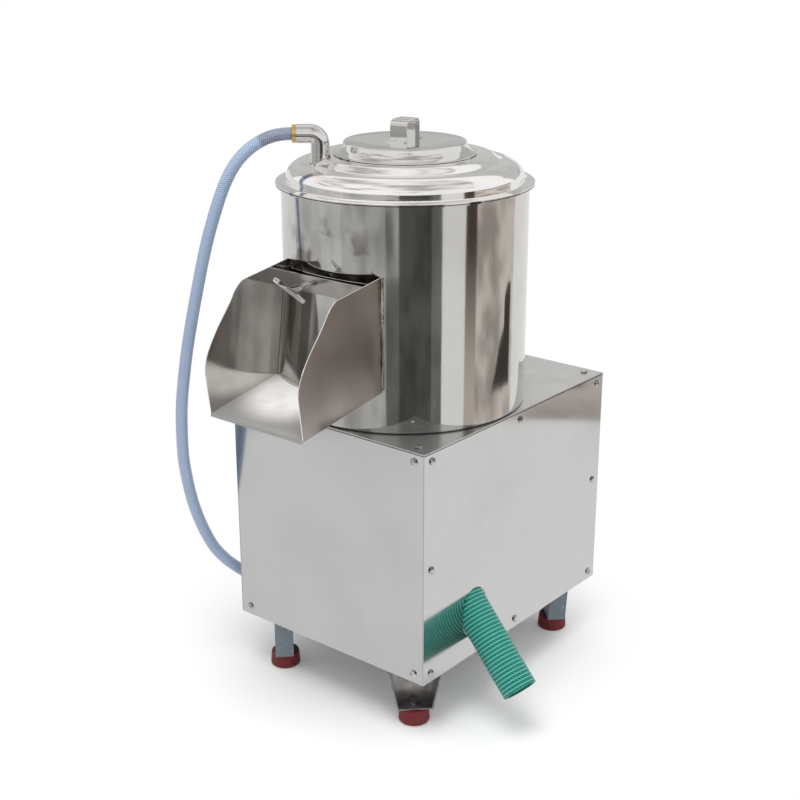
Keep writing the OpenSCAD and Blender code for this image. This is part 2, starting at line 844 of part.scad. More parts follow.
module at_housing_bolts() {
    for (i = [0:3]) rotate([0, 0, 45 + 90*i]) translate([housing_bolt_pcd/2, 0, 0]) children();
}

// Turned housing with two bearing seats and a seal seat in the boss above the top plate
module bearing_housing() {
    low = -top_t - housing_l;
    flange_low = -top_t - housing_flange_t;
    top_seat = boss_h - seal_down - seal_t - bearing_w;
    low_seat = low + bearing_w + seal_down;
    bore_r = shaft_r + seal_t;
    color("dimgray") on_drum() difference() {
        rotate_extrude() polygon([[bore_r, low_seat], [bearing_r, low_seat], [bearing_r, low],
            [housing_d/2, low], [housing_d/2, flange_low], [housing_flange_d/2, flange_low],
            [housing_flange_d/2, -top_t], [boss_r, -top_t], [boss_r, boss_h],
            [bearing_r, boss_h], [bearing_r, top_seat], [bore_r, top_seat]]);
        at_housing_bolts() translate([0, 0, flange_low - over])
            cylinder(r = housing_bolt_d/2 + fit_gap, h = housing_flange_t + 2*over);
    }
}

module bearings() {
    low = -top_t - housing_l + seal_down;
    high = boss_h - seal_down - seal_t - bearing_w;
    color("lightgray") on_drum() for (z = [low, high])
        translate([0, 0, z]) ring(bearing_r - weld_gap, shaft_r + run_gap, bearing_w);
}

module shaft_seal() {
    color("black") on_drum() translate([0, 0, boss_h - seal_down - seal_t])
        ring(bearing_r - weld_gap, shaft_r + run_gap, seal_t);
}

module housing_bolts() {
    color("gainsboro") on_drum() at_housing_bolts()
        translate([0, 0, -top_t - housing_flange_t]) mirror([0, 0, 1])
            hex_bolt(housing_bolt_d, foot_head_af, housing_flange_t + top_t);
}

// Levels of the disc's plate over the shaft's shoulder
plate_top = disc_top - abrasive_t;
shoulder_z = plate_top - plate_t;

module main_shaft() {
    low = belt_z - pulley_w;
    color("lightgray") on_drum() {
        translate([0, 0, low]) cylinder(r = shaft_r, h = shoulder_z - low);
        translate([0, 0, shoulder_z - over]) cylinder(r = shaft_end_r, h = disc_top + over - shoulder_z);
    }
}

// Cast disc with a skirt over the housing's boss
module disc_plate() {
    skirt_in = boss_r + plate_t;
    skirt_out = skirt_in + plate_t;
    skirt_low = pan_t + 2*plate_t;
    hub_low = boss_h + over;
    color("gray") on_drum() rotate_extrude() polygon([[shaft_r + weld_gap, hub_low],
        [shaft_r + 2*plate_t, hub_low], [shaft_r + 2*plate_t, shoulder_z], [skirt_in, shoulder_z],
        [skirt_in, skirt_low], [skirt_out, skirt_low], [skirt_out, shoulder_z],
        [disc_d/2, shoulder_z], [disc_d/2, plate_top], [shaft_end_r + weld_gap, plate_top],
        [shaft_end_r + weld_gap, shoulder_z], [shaft_r + weld_gap, shoulder_z]]);
}

// The abrasive layer, with waves that lift and turn the load
module abrasive_disc() {
    nut_r = shaft_r + 2*plate_t + fit_gap;
    wave_r = (wave_w*wave_w/4 + wave_h*wave_h)/(2*wave_h);
    color("darkslategray") on_drum() difference() {
        translate([0, 0, plate_top]) union() {
            cylinder(r = disc_d/2, h = abrasive_t);
            intersection() {
                cylinder(r = disc_d/2, h = abrasive_t + wave_h);
                for (i = [1:wave_count]) rotate([0, 0, 360*i/wave_count])
                    translate([0, 0, abrasive_t + wave_h - wave_r]) rotate([0, 90, 0])
                        intersection() {
                            cylinder(r = wave_r, h = disc_d);
                            translate([-2*wave_r, -wave_w, 0])
                                cube([wave_r + wave_h, 2*wave_w, disc_d]);
                        }
            }
        }
        translate([0, 0, plate_top - over]) cylinder(r = nut_r, h = abrasive_t + wave_h + 2*over);
    }
}

module disc_nut() {
    nut_r = shaft_r + 2*plate_t;
    color("silver") on_drum() translate([0, 0, plate_top]) difference() {
        union() {
            cylinder(r = nut_r, h = abrasive_t);
            translate([0, 0, abrasive_t]) cylinder(r1 = nut_r, r2 = nut_r/2, h = plate_t);
        }
        translate([0, 0, -over]) cylinder(r = shaft_end_r + weld_gap, h = abrasive_t + 2*over);
    }
}

// Belt drive

// The belt's section about its pitch line, with its back outward
module belt_section(gap) {
    back = belt_w/2 + gap;
    face = belt_w/2 - belt_h*0.31 + gap;
    polygon([[-belt_h/2 - gap, -face], [-belt_h/2 - gap, face], [belt_h/2, back], [belt_h/2, -back]]);
}

// A pulley about z = 0 with a groove for the belt
module pulley(r, bore_r, hub_l) {
    rim = r + belt_h/2 + fit_gap;
    difference() {
        rotate_extrude() difference() {
            translate([bore_r, -hub_l/2]) square([rim - bore_r, hub_l]);
            translate([bore_r + 2*plate_t, pulley_w/2]) square([rim, hub_l]);
            translate([bore_r + 2*plate_t, -pulley_w/2 - hub_l]) square([rim, hub_l]);
            translate([r, 0]) belt_section(fit_gap + seam);
            translate([r + belt_h/2 - seam, -belt_w/2 - 2*seam]) square([rim, belt_w + 4*seam]);
            if (r > bore_r + 5*plate_t) for (s = [-1, 1])
                translate([bore_r + 2*plate_t, s > 0 ? plate_t : -plate_t - pulley_w])
                    square([r - belt_h - bore_r - 3*plate_t, pulley_w]);
        }
        if (r > bore_r + 5*plate_t) for (i = [0:4]) rotate([0, 0, 72*i])
            translate([(bore_r + r)/2, 0, -pulley_w]) cylinder(r = r/6, h = 2*pulley_w);
    }
}

module driven_pulley() {
    color("dimgray") on_drum() translate([0, 0, belt_z])
        pulley(driven_r, shaft_r + weld_gap, pulley_w + 2*plate_t);
}

module motor_pulley() {
    color("dimgray") on_base() translate([0, motor_y, belt_z])
        pulley(drive_r, motor_shaft_d/2 + weld_gap, pulley_w);
}

// The belt runs round both pulleys, drawn as two wraps and two straight runs
module v_belt() {
    color("black") on_drum() translate([0, 0, belt_z]) rotate([0, 0, 90]) {
        rotate([0, 0, belt_angle]) rotate_extrude(angle = 360 - 2*belt_angle)
            translate([driven_r, 0]) belt_section(0);
        translate([motor_offset, 0, 0]) rotate([0, 0, -belt_angle])
            rotate_extrude(angle = 2*belt_angle) translate([drive_r, 0]) belt_section(0);
        for (s = [0, 1]) mirror([0, s, 0]) rotate([0, 0, belt_angle]) rotate([90, 0, 0])
            linear_extrude(belt_reach) translate([driven_r, 0]) belt_section(0);
    }
}

// Motor

// A welded box bracket under the top plate, open to the front for the belt
module motor_bracket() {
    color("dimgray") on_base() translate([0, motor_y - bracket_d/2, motor_top]) difference() {
        translate([-bracket_w/2, 0, 0]) cube([bracket_w, bracket_d, bracket_h]);
        translate([-bracket_w/2 + bracket_t, -over, bracket_t])
            cube([bracket_w - 2*bracket_t, bracket_d + 2*over, bracket_h - 2*bracket_t]);
        translate([0, bracket_d/2, -over])
            cylinder(r = motor_shaft_d, h = bracket_t + 2*over);
    }
}

fin_h = 6;
fin_t = 3;
fin_count = 28;

module motor_body() {
    color("steelblue") on_base() translate([0, motor_y, motor_top]) {
        difference() {
            translate([0, 0, -housing_flange_t])
                cylinder(r = motor_d/2 + fin_h, h = housing_flange_t);
            translate([0, 0, -housing_flange_t - over])
                cylinder(r = motor_shaft_d/2 + run_gap, h = housing_flange_t + 2*over);
        }
        difference() {
            translate([0, 0, -motor_l]) linear_extrude(motor_l - housing_flange_t) union() {
                circle(r = motor_d/2);
                for (i = [1:fin_count]) rotate(360*i/fin_count)
                    translate([motor_d/2 - fin_t, -fin_t/2]) square([fin_h + fin_t, fin_t]);
            }
            translate([0, 0, -motor_l/2]) cylinder(r = motor_shaft_d/2 + run_gap, h = motor_l);
        }
    }
}

module motor_cowl() {
    cowl_r = motor_d/2 + fin_h;
    edge = cowl_l/4;
    color("dimgray") on_base() translate([0, motor_y, motor_top - motor_l])
        rotate_extrude() polygon(concat([[0, 0], [cowl_r, 0]],
            arc(cowl_r - edge, -cowl_l + edge, edge, edge, 0, -90), [[0, -cowl_l]]));
}

module terminal_box() {
    box_l = motor_l/2.5;
    color("dimgray") on_base()
        translate([motor_d/2 + fin_h, motor_y - box_l/2, motor_top - housing_flange_t - box_l])
            cube([box_l/2.5, box_l, box_l]);
}

module motor_shaft() {
    low = motor_top - motor_l/2 + over;
    color("lightgray") on_base() translate([0, motor_y, low])
        cylinder(r = motor_shaft_d/2, h = belt_z + pulley_w/2 + over - low);
}

// Drain

module waste_spigot() {
    low = drain_top - spigot_l;
    color("silver") on_base() translate([spigot_x, spigot_y, 0]) {
        translate([0, 0, low]) ring(spigot_r, spigot_in_r, pan_t - low);
        translate([0, 0, drain_top]) ring(drain_r, spigot_in_r + spigot_t/2, spigot_flange_t);
    }
}

// A band round the hose where it is pushed on the spigot
module hose_clip() {
    band_t = over;
    color("gainsboro") on_base() translate([spigot_x, spigot_y, drain_top - spigot_l/2 - clip_w/2])
        ring(drain_r + weld_gap + band_t, drain_r + weld_gap, clip_w);
}

// The drain hose's middle line lies in one upright plane: down from the spigot, a bend and out.
// Each returns the distance outward from the panel hole and the height over the top plate.
function drain_point(s) =
    s < drain_drop ? [drain_arc_h, drain_top - s] :
    s < drain_drop + drain_bend_l ?
        let (a = (s - drain_drop)/drain_bend*180/PI)
            [drain_arc_h + drain_bend*(1 - cos(a)), drain_arc_z - drain_bend*sin(a)] :
    let (t = s - drain_drop - drain_bend_l - drain_lead)
        [t*cos(drain_fall), drain_up - base_top - t*sin(drain_fall)];

function drain_heading(s) =
    let (a = min(drain_arc, max(0, (s - drain_drop)/drain_bend*180/PI))) [sin(a), -cos(a)];

// A ring of points round the middle line
function drain_ring(s, r) =
    let (p = drain_point(s), h = drain_heading(s))
    [for (i = [0:hose_sides - 1]) let (a = 360*(i + 0.5)/hose_sides, w = r*cos(a), n = r*sin(a))
        [base_w/2 + (p[0] - h[1]*n)*drain_dir[0] - w*drain_dir[1],
         drain_in + (p[0] - h[1]*n)*drain_dir[1] + w*drain_dir[0],
         p[1] + h[0]*n]];

// Triangles between rings of points, from one index on
function tube_faces(first, rings, sides, outward) =
    [for (k = [0:rings - 2]) for (i = [0:sides - 1]) for (half = [0, 1])
        let (a = first + k*sides + i, b = first + k*sides + (i + 1)%sides, c = a + sides, d = b + sides,
            tri = half == 0 ? [a, b, d] : [a, d, c])
        outward ? tri : [tri[2], tri[1], tri[0]]];

// Triangles of the flat ring between two loops of points
function rim_faces(a0, b0, sides, outward) =
    [for (i = [0:sides - 1]) for (half = [0, 1])
        let (j = (i + 1)%sides, tri = half == 0 ? [a0 + i, b0 + i, b0 + j] : [a0 + i, b0 + j, a0 + j])
        outward ? tri : [tri[2], tri[1], tri[0]]];

// Ribbed outside and smooth bore, closed at both ends by flat rims
module drain_hose() {
    ribs = floor(drain_l/rib_pitch);
    outer_rings = 2*ribs + 1;
    bore_rings = 18;
    outer = [for (k = [0:outer_rings - 1])
        each drain_ring(drain_l*k/(outer_rings - 1), k%2 == 0 ? drain_valley_d/2 : drain_r)];
    bore = [for (k = [0:bore_rings - 1]) each drain_ring(drain_l*k/(bore_rings - 1), drain_bore_r)];
    inner_first = outer_rings*hose_sides;
    last_outer = inner_first - hose_sides;
    last_inner = inner_first + (bore_rings - 1)*hose_sides;
    color("seagreen") on_base() polyhedron(points = concat(outer, bore), faces = concat(
        tube_faces(0, outer_rings, hose_sides, true),
        tube_faces(inner_first, bore_rings, hose_sides, false),
        rim_faces(0, inner_first, hose_sides, true),
        rim_faces(last_outer, last_inner, hose_sides, false)));
}

// Switch and gland on the rear panel

module cable_gland() {
    nut_l = gland_out*0.4;
    color("black") on_base() translate([-switch_side, base_d, -gland_down]) rotate([-90, 0, 0])
        difference() {
            union() {
                cylinder(r = gland_d/2, h = nut_l, $fn = 6);
                cylinder(r = gland_d*0.42, h = gland_out - nut_l/2);
                cylinder(r = gland_d*0.34, h = gland_out);
                translate([0, 0, -panel_t - nut_l]) cylinder(r = gland_d/4, h = nut_l + panel_t + over);
            }
            translate([0, 0, -panel_t - nut_l - over])
                cylinder(r = gland_d/6, h = gland_out + panel_t + nut_l + 2*over);
        }
}

pin_r = 2;
rocker_deep = switch_t*0.5;
rocker_swing = 10;

// Both are drawn about the rocker's pivot, with +Y out of the rear panel
module at_switch() {
    on_base() translate([-switch_side, base_d + rocker_deep, -switch_down]) children();
}

module switch_box() {
    color("dimgray") at_switch() difference() {
        translate([-switch_w/2, -rocker_deep, -switch_h/2]) cube([switch_w, switch_t, switch_h]);
        translate([-rocker_w/2 - fit_gap, -rocker_deep*0.8, -rocker_l/2 - fit_gap])
            cube([rocker_w + 2*fit_gap, switch_t, rocker_l + 2*fit_gap]);
        translate([-rocker_w/2 - 2*pin_r, 0, 0]) rotate([0, 90, 0])
            cylinder(r = pin_r + run_gap, h = rocker_w + 4*pin_r);
    }
}

// The rocker's outline is drawn level and then tipped to its off position
module switch_rocker() {
    half = rocker_l/2 - pin_r;
    deep = rocker_deep*0.25;
    face = switch_t - rocker_deep;
    color("black") at_switch() rotate([-rocker_swing, 0, 0]) {
        translate([-rocker_w/2, 0, 0]) rotate([90, 0, 90]) linear_extrude(rocker_w)
            polygon([[-deep, -half], [face + pin_r/2, -half], [face - pin_r/2, 0],
                [face + pin_r/2, half], [-deep, half]]);
        translate([-rocker_w/2 - pin_r*1.5, 0, 0]) rotate([0, 90, 0])
            cylinder(r = pin_r, h = rocker_w + pin_r*3);
    }
}

// Cover

// Height of the cover's outside over its flange at the S-shaped rise, by distance along it
function rise_z(t) = ridge_h + (ledge_h - ridge_h)*(1 - cos(180*t))/2;

module cover_shell() {
    wall_r = drum_r - cover_wall_in;
    ridge_r = drum_r - ridge_in;
    ledge_r = drum_r - ledge_in;
    shoulder = [wall_r - ridge_r, ridge_h - cover_wall_h];
    outer = concat([[rim_r, 0], [rim_r, cover_t], [wall_r, cover_t]],
        arc(ridge_r, cover_wall_h, shoulder[0], shoulder[1], 0, 90),
        [for (i = [1:arc_steps]) let (t = i/arc_steps) [ridge_r + (ledge_r - ridge_r)*t, rise_z(t)]],
        [[neck_r, ledge_h], [neck_r, ledge_h + neck_h]]);
    inner = concat([[neck_r - cover_t, ledge_h + neck_h], [neck_r - cover_t, ledge_h - cover_t]],
        [for (i = [arc_steps:-1:1]) let (t = i/arc_steps)
            [ridge_r + (ledge_r - ridge_r)*t, rise_z(t) - cover_t]],
        arc(ridge_r, cover_wall_h, shoulder[0] - cover_t, shoulder[1] - cover_t, 90, 0),
        [[wall_r - cover_t, 0]]);
    color("silver") on_drum() difference() {
        translate([0, 0, cover_z]) rotate_extrude() polygon(concat(outer, inner));
        translate([inlet_x, inlet_y, drum_h]) cylinder(r = stub_r + weld_gap, h = drum_h);
    }
}

module rim_gasket() {
    color("black") on_drum() translate([0, 0, drum_h]) ring(rim_r - over, drum_in_r, gasket_t);
}

// Puts its child at the inlet, with +X along the outlet and z from the drum's rim
module at_inlet() {
    on_drum() translate([inlet_x, inlet_y, drum_h]) rotate([0, 0, inlet_turn]) children();
}

// The upright run, the quarter bend and the outlet of a tube of one radius
module elbow_run(r, extra) {
    upright = outlet_h - elbow_bend;
    low = cover_rise + ridge_h - 2*cover_t;
    translate([0, 0, low - extra]) cylinder(r = r, h = upright - low + extra);
    translate([elbow_bend, 0, upright]) rotate([90, 0, 0]) rotate([0, 0, 90])
        rotate_extrude(angle = 90) translate([elbow_bend, 0]) circle(r = r);
    translate([elbow_bend, 0, outlet_h]) rotate([0, 90, 0])
        cylinder(r = r, h = outlet_l - elbow_bend + extra);
}

// The stub's weld lies a little above the cover
module inlet_elbow() {
    low = cover_rise + ridge_h - 2*cover_t;
    seam_z = cover_rise + ledge_h + 4*cover_t;
    color("silver") at_inlet() difference() {
        union() {
            elbow_run(elbow_r, 0);
            translate([0, 0, low]) cylinder(r = stub_r, h = seam_z - low);
        }
        elbow_run(elbow_bore_r, over);
    }
}

module hose_nipple() {
    color("goldenrod") at_inlet() translate([outlet_l, 0, outlet_h]) rotate([0, 90, 0]) difference() {
        union() {
            cylinder(r = collar_r, h = collar_l);
            translate([0, 0, -nipple_l]) cylinder(r = elbow_bore_r - weld_gap, h = nipple_l + over);
        }
        translate([0, 0, -nipple_l - over])
            cylinder(r = nipple_bore_d/2, h = nipple_l + collar_l + 2*over);
    }
}

// Water hose: from the nipple it hangs in an arch in the elbow's plane. Each point gives the
// distance from the elbow's upright axis and the drop below the outlet.
arch_route = [[60, 1], [78, 5], [97, 14], [115, 27], [131, 44], [145, 66], [156, 90], [166, 117],
    [179, 157], [190, 197], [203, 252], [214, 302], [224, 352], [232, 402], [238, 452]];
// Then it falls beside the base and lies on the floor behind it, given from the part's origin
floor_route = [[-258, -256, 440], [-261, -252, 390], [-263, -238, 322], [-263, -220, 268],
    [-259, -199, 220], [-251, -180, 190], [-241, -162, 169], [-233, -139, 148], [-228, -107, 128],
    [-226, -72, 108], [-226, -32, 88], [-226, 13, 66], [-227, 63, 45],
    [-229, 113, 28], [-231, 163, 17], [-233, 213, 11], [-233, 263, 10], [-230, 313, 10],
    [-214, 356, 10], [-182, 389, 10], [-138, 404, 11], [-90, 408, 13], [-40, 408, 16]];
// End of the hose at the tap connector
hose_end = [10, 408, 16];
water_sides = 10;

arch_start = outlet_l + collar_l;
outlet_place = [inlet_x, axis_y + inlet_y, base_top + drum_h + outlet_h];
function arch_point(p) = outlet_place + [p[0]*cos(inlet_turn), p[0]*sin(inlet_turn), -p[1]];
water_route = concat([arch_point([arch_start, 0])], [for (p = arch_route) arch_point(p)],
    floor_route, [hose_end]);

function route_heading(pts, k) =
    k == 0 ? unit([cos(inlet_turn), sin(inlet_turn), 0]) :
    k == len(pts) - 1 ? [1, 0, 0] : unit(pts[k + 1] - pts[k - 1]);

// Round tube of one polyhedron along a route
module swept_tube(pts, r, sides) {
    side_way = [-sin(inlet_turn), cos(inlet_turn), 0];
    last = len(pts) - 1;
    rings = [for (k = [0:last]) let (t = route_heading(pts, k), u = unit(cross(t, side_way)), v = cross(t, u))
        each [for (i = [0:sides - 1]) pts[k] + r*(cos(360*i/sides)*u + sin(360*i/sides)*v)]];
    first_cap = [for (i = [1:sides - 2]) [0, i + 1, i]];
    last_cap = [for (i = [1:sides - 2]) [last*sides, last*sides + i, last*sides + i + 1]];
    polyhedron(points = rings, faces = concat(
        [for (f = tube_faces(0, last + 1, sides, true)) [f[2], f[1], f[0]]],
        [for (f = first_cap) [f[2], f[1], f[0]]], [for (f = last_cap) [f[2], f[1], f[0]]]));
}

module water_hose() {
    color("lightblue") swept_tube(water_route, hose_d/2, water_sides);
}

// A sleeve pressed on the hose's end and a union nut for a tap
module tap_connector() {
    color("goldenrod") translate(hose_end) rotate([0, 90, 0]) difference() {
        union() {
            cylinder(r = tap_sleeve_d/2, h = tap_sleeve_l);
            translate([0, 0, tap_sleeve_l]) cylinder(r = tap_nut_d/2, h = tap_nut_l, $fn = 6);
        }
        translate([0, 0, tap_sleeve_l]) cylinder(r = tap_bore_d/2, h = tap_nut_l + over);
        translate([0, 0, -over]) cylinder(r = nipple_bore_d/2, h = tap_sleeve_l + 2*over);
    }
}

// Lid

module lid() {
    wall_r = neck_r + lid_wall_out;
    top_r = neck_r - lid_top_in;
    flange_r = neck_r + lid_out;
    bend = lid_t*2;
    color("silver") on_drum() translate([0, 0, lid_z]) rotate_extrude() polygon(concat(
        [[flange_r, 0], [flange_r, lid_t], [wall_r, lid_t]],
        [[top_r + bend*0.7, lid_h - bend*0.4], [top_r, lid_h], [0, lid_h], [0, lid_h - lid_t]],
        [[top_r - lid_t*0.4, lid_h - lid_t], [wall_r - lid_t, 0]]));
}

// A bent strap: out-turned feet, two uprights and a level grip
module lid_handle() {
    half = handle_span/2;
    r_in = handle_bend - handle_t;
    grip = handle_h - handle_bend;
    outline = concat([[half + handle_foot, 0], [half + handle_foot, handle_t], [half, handle_t]],
        arc(half - handle_bend, grip, handle_bend, handle_bend, 0, 90),
        arc(-half + handle_bend, grip, handle_bend, handle_bend, 90, 180),
        [[-half, handle_t], [-half - handle_foot, handle_t], [-half - handle_foot, 0],
            [-half + handle_t, 0]],
        arc(-half + handle_bend, grip, r_in, r_in, 180, 90),
        arc(half - handle_bend, grip, r_in, r_in, 90, 0), [[half - handle_t, 0]]);
    color("silver") on_drum() translate([0, 0, lid_z + lid_h]) rotate([0, 0, handle_turn])
        rotate([90, 0, 90]) translate([0, 0, -handle_w/2]) linear_extrude(handle_w) polygon(outline);
}

top_plate();
panel_front();
panel_rear();
panel_left();
panel_right();
frame_posts();
rails_top();
rails_bottom();
panel_screws();
leg_fl();
leg_fr();
leg_rl();
leg_rr();
foot_fl();
foot_fr();
foot_rl();
foot_rr();
foot_bolts();
drum_shell();
drum_pan();
wall_liner();
cheek_left();
cheek_right();
chute_floor();
lintel();
door_guides();
bearing_housing();
bearings();
shaft_seal();
housing_bolts();
motor_bracket();
motor_body();
motor_cowl();
terminal_box();
v_belt();
waste_spigot();
hose_clip();
drain_hose();
cable_gland();
switch_box();
switch_rocker();
door_plate();
clamp_screw();
clamp_bar();
clamp_pad();
main_shaft();
disc_plate();
abrasive_disc();
disc_nut();
driven_pulley();
motor_shaft();
motor_pulley();
cover_shell();
rim_gasket();
inlet_elbow();
hose_nipple();
water_hose();
tap_connector();
lid();
lid_handle();
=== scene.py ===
"""Looks of an electric potato peeler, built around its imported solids.

All lengths are metres in the part's own frame: the floor is z = 0, the chute points to -Y and the
drain hose leaves towards +X.
"""

import json
import logging
import math
import random
from dataclasses import dataclass
from enum import Enum
from typing import Any, Callable, Sequence, Union

import bpy
from mathutils import Euler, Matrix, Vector


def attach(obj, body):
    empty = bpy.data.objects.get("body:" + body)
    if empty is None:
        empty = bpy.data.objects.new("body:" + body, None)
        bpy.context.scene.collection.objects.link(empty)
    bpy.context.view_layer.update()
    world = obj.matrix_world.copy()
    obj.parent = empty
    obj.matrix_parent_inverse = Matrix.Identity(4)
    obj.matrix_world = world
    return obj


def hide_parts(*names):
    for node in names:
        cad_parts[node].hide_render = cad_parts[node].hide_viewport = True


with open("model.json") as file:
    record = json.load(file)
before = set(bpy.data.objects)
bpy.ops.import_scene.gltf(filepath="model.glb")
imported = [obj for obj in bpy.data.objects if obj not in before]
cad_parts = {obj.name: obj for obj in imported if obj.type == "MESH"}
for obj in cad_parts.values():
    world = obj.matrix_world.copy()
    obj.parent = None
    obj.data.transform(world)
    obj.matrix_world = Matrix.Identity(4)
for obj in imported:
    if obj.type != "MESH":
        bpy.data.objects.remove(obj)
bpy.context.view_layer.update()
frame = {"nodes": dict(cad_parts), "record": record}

LOG = logging.getLogger("potato_peeler")
Colour = tuple[float, float, float]
Point = tuple[float, float, float]
Value = Union["Sock", float, int]
Span = tuple[float, float]
Spot = tuple[float, float]

BASE_TOP = 0.500  # height of the base box's top plate
FRONT_Y = -0.1865  # face of the front panel
AXIS_Y = 0.0175  # the drum's axis
CHUTE_HALF = 0.097  # half the chute's width inside its cheeks
HEAT_Y = -0.157  # line from which the heat of the chute's welds spreads
HOSE_PITCH = 0.0065  # from rib to rib of the drain hose
SHARP_ANGLE = 40.0  # degrees past which an edge of a spun sheet stays sharp
MILLI = 1000  # millimetres to a metre
TINY = 1e-6  # length under which a direction counts as none
BLACK: Colour = (0.0, 0.0, 0.0)
WHITE: Colour = (1.0, 1.0, 1.0)
SEEN_RAYS = ("Is Camera Ray", "Is Glossy Ray", "Is Transmission Ray")


class Grain(Enum):
    """Ways in which a metal surface is brushed, as stretch of the grain along X, Y and Z."""

    LEVEL = (1.0, 1.0, 60.0)
    UPRIGHT = (60.0, 60.0, 1.0)
    NONE = (12.0, 12.0, 12.0)


# Shader building


class Sock:
    """A value socket on which sums are written as Python expressions."""

    def __init__(self, book: "NodeBook", socket: Any) -> None:
        """Keeps the socket and the book that it belongs to."""
        self.book = book
        self.socket = socket

    def _sum(self, operation: str, left: Value, right: Value) -> "Sock":
        """Adds one Math node.

        Args:
            operation: the Math node's operation.
            left: first value.
            right: second value.

        Returns:
            The node's result.
        """
        return self.book.node("ShaderNodeMath", {"operation": operation}, {0: left, 1: right})

    def __add__(self, other: Value) -> "Sock":
        """Sum."""
        return self._sum("ADD", self, other)

    def __radd__(self, other: Value) -> "Sock":
        """Sum with the number first."""
        return self._sum("ADD", other, self)

    def __sub__(self, other: Value) -> "Sock":
        """Difference."""
        return self._sum("SUBTRACT", self, other)

    def __rsub__(self, other: Value) -> "Sock":
        """Difference with the number first."""
        return self._sum("SUBTRACT", other, self)

    def __mul__(self, other: Value) -> "Sock":
        """Product."""
        return self._sum("MULTIPLY", self, other)

    def __rmul__(self, other: Value) -> "Sock":
        """Product with the number first."""
        return self._sum("MULTIPLY", other, self)

    def larger(self, other: Value) -> "Sock":
        """The larger of two values."""
        return self._sum("MAXIMUM", self, other)

    def fract(self) -> "Sock":
        """The part behind the decimal point."""
        return self._sum("FRACT", self, 0.0)

    def absolute(self) -> "Sock":
        """The value without its sign."""
        return self._sum("ABSOLUTE", self, 0.0)

    def ramp(self, low: float, high: float) -> "Sock":
        """Zero below low, one above high and smooth between.

        Args:
            low: value that gives zero.
            high: value that gives one.

        Returns:
            The smoothed share.
        """
        return self.book.node("ShaderNodeMapRange", {"interpolation_type": "SMOOTHSTEP"},
                              {"Value": self, "From Min": low, "From Max": high})


class NodeBook:
    """A node tree to which nodes are added by one method."""

    def __init__(self, tree: bpy.types.NodeTree, kind: str) -> None:
        """Keeps the tree and its shader of the given type."""
        self.tree = tree
        self.shader = next(n for n in tree.nodes if n.type == kind)

    def node(self, kind: str, settings: dict[str, Any] | None = None,
             inputs: dict[Any, Any] | None = None, output: Any = 0) -> Sock:
        """Adds a node, sets it and wires its sockets.

        Args:
            kind: the node's type.
            settings: its own settings, which are set first.
            inputs: a value or link for each socket, by name or index.
            output: name or index of the output wanted.

        Returns:
            That output.
        """
        made = self.tree.nodes.new(kind)
        for key, value in (settings or {}).items():
            setattr(made, key, value)
        for key, value in (inputs or {}).items():
            self.wire(made.inputs[key], value)
        return Sock(self, made.outputs[output])

    def wire(self, target: Any, value: Any) -> None:
        """Links a socket, or sets its value.

        Args:
            target: the socket.
            value: another node's output, or a plain value.
        """
        if isinstance(value, Sock):
            self.tree.links.new(value.socket, target)
        else:
            target.default_value = value


class ShadeBook(NodeBook):
    """The node tree of one finish."""

    def __init__(self, name: str) -> None:
        """Makes a material with its Principled shader.

        Args:
            name: the material's name.
        """
        self.material = bpy.data.materials.new(name)
        self.material.use_nodes = True
        super().__init__(self.material.node_tree, "BSDF_PRINCIPLED")

    def place(self) -> Sock:
        """Position on the piece in metres."""
        return self.node("ShaderNodeTexCoord", output="Object")

    def stretched(self, stretch: Point) -> Sock:
        """Position stretched along the three directions."""
        return self.node("ShaderNodeVectorMath", {"operation": "MULTIPLY"},
                         {0: self.place(), 1: stretch})

    def noise(self, scale: float, detail: float = 2.0, vector: Sock | None = None) -> Sock:
        """Noise from zero to one.

        Args:
            scale: repeats a metre.
            detail: levels of finer noise.
            vector: position, or none for the plain one.

        Returns:
            The noise value.
        """
        return self.node("ShaderNodeTexNoise", None, {
            "Vector": vector or self.place(), "Scale": scale, "Detail": detail}, "Fac")

    def mixed(self, share: Value, first: Any, second: Any) -> Sock:
        """Blends two colours.

        Args:
            share: zero for the first colour, one for the second.
            first: a colour or a node's output.
            second: a colour or a node's output.

        Returns:
            The blend.
        """
        wrap = [c if isinstance(c, Sock) else (*c, 1.0) for c in (first, second)]
        return self.node("ShaderNodeMix", {"data_type": "RGBA"},
                         {0: share, 6: wrap[0], 7: wrap[1]}, 2)

    def facing(self, letter: str) -> Sock:
        """How far the sheet itself faces along one axis, from 0 to 1."""
        normal = self.node("ShaderNodeTexCoord", output="Normal")
        return self.node("ShaderNodeSeparateXYZ", None, {0: normal}, letter).absolute()

    def away(self, middle: Point) -> Sock:
        """Distance from a point.

        Args:
            middle: the point.

        Returns:
            The distance in metres.
        """
        gap = self.node("ShaderNodeVectorMath", {"operation": "SUBTRACT"},
                        {0: self.place(), 1: middle})
        return self.node("ShaderNodeVectorMath", {"operation": "LENGTH"}, {0: gap}, "Value")

    def axis(self, name: str) -> Sock:
        """One coordinate of the position."""
        return self.node("ShaderNodeSeparateXYZ", None, {0: self.place()}, name)

    def along(self, name: str) -> Sock:
        """Turns round a hose (X) or metres along it (Y), from its UV map."""
        uv = self.node("ShaderNodeTexCoord", output="UV")
        return self.node("ShaderNodeSeparateXYZ", None, {0: uv}, name)

    def bump(self, height: Sock, depth: float) -> None:
        """Feeds a height into the shader's normal.

        Args:
            height: height at each place.
            depth: metres that a height of one stands for.
        """
        made = self.node("ShaderNodeBump", None, {
            "Height": height, "Distance": depth, "Strength": 1.0}, "Normal")
        self.wire(self.shader.inputs["Normal"], made)

    def set(self, **values: Any) -> None:
        """Sets the shader's sockets.

        Args:
            values: value or link of each socket, named with underscores for spaces.
        """
        for key, value in values.items():
            if isinstance(value, tuple) and len(value) == 3:
                value = (*value, 1.0)
            self.wire(self.shader.inputs[key.replace("_", " ")], value)


# Finishes


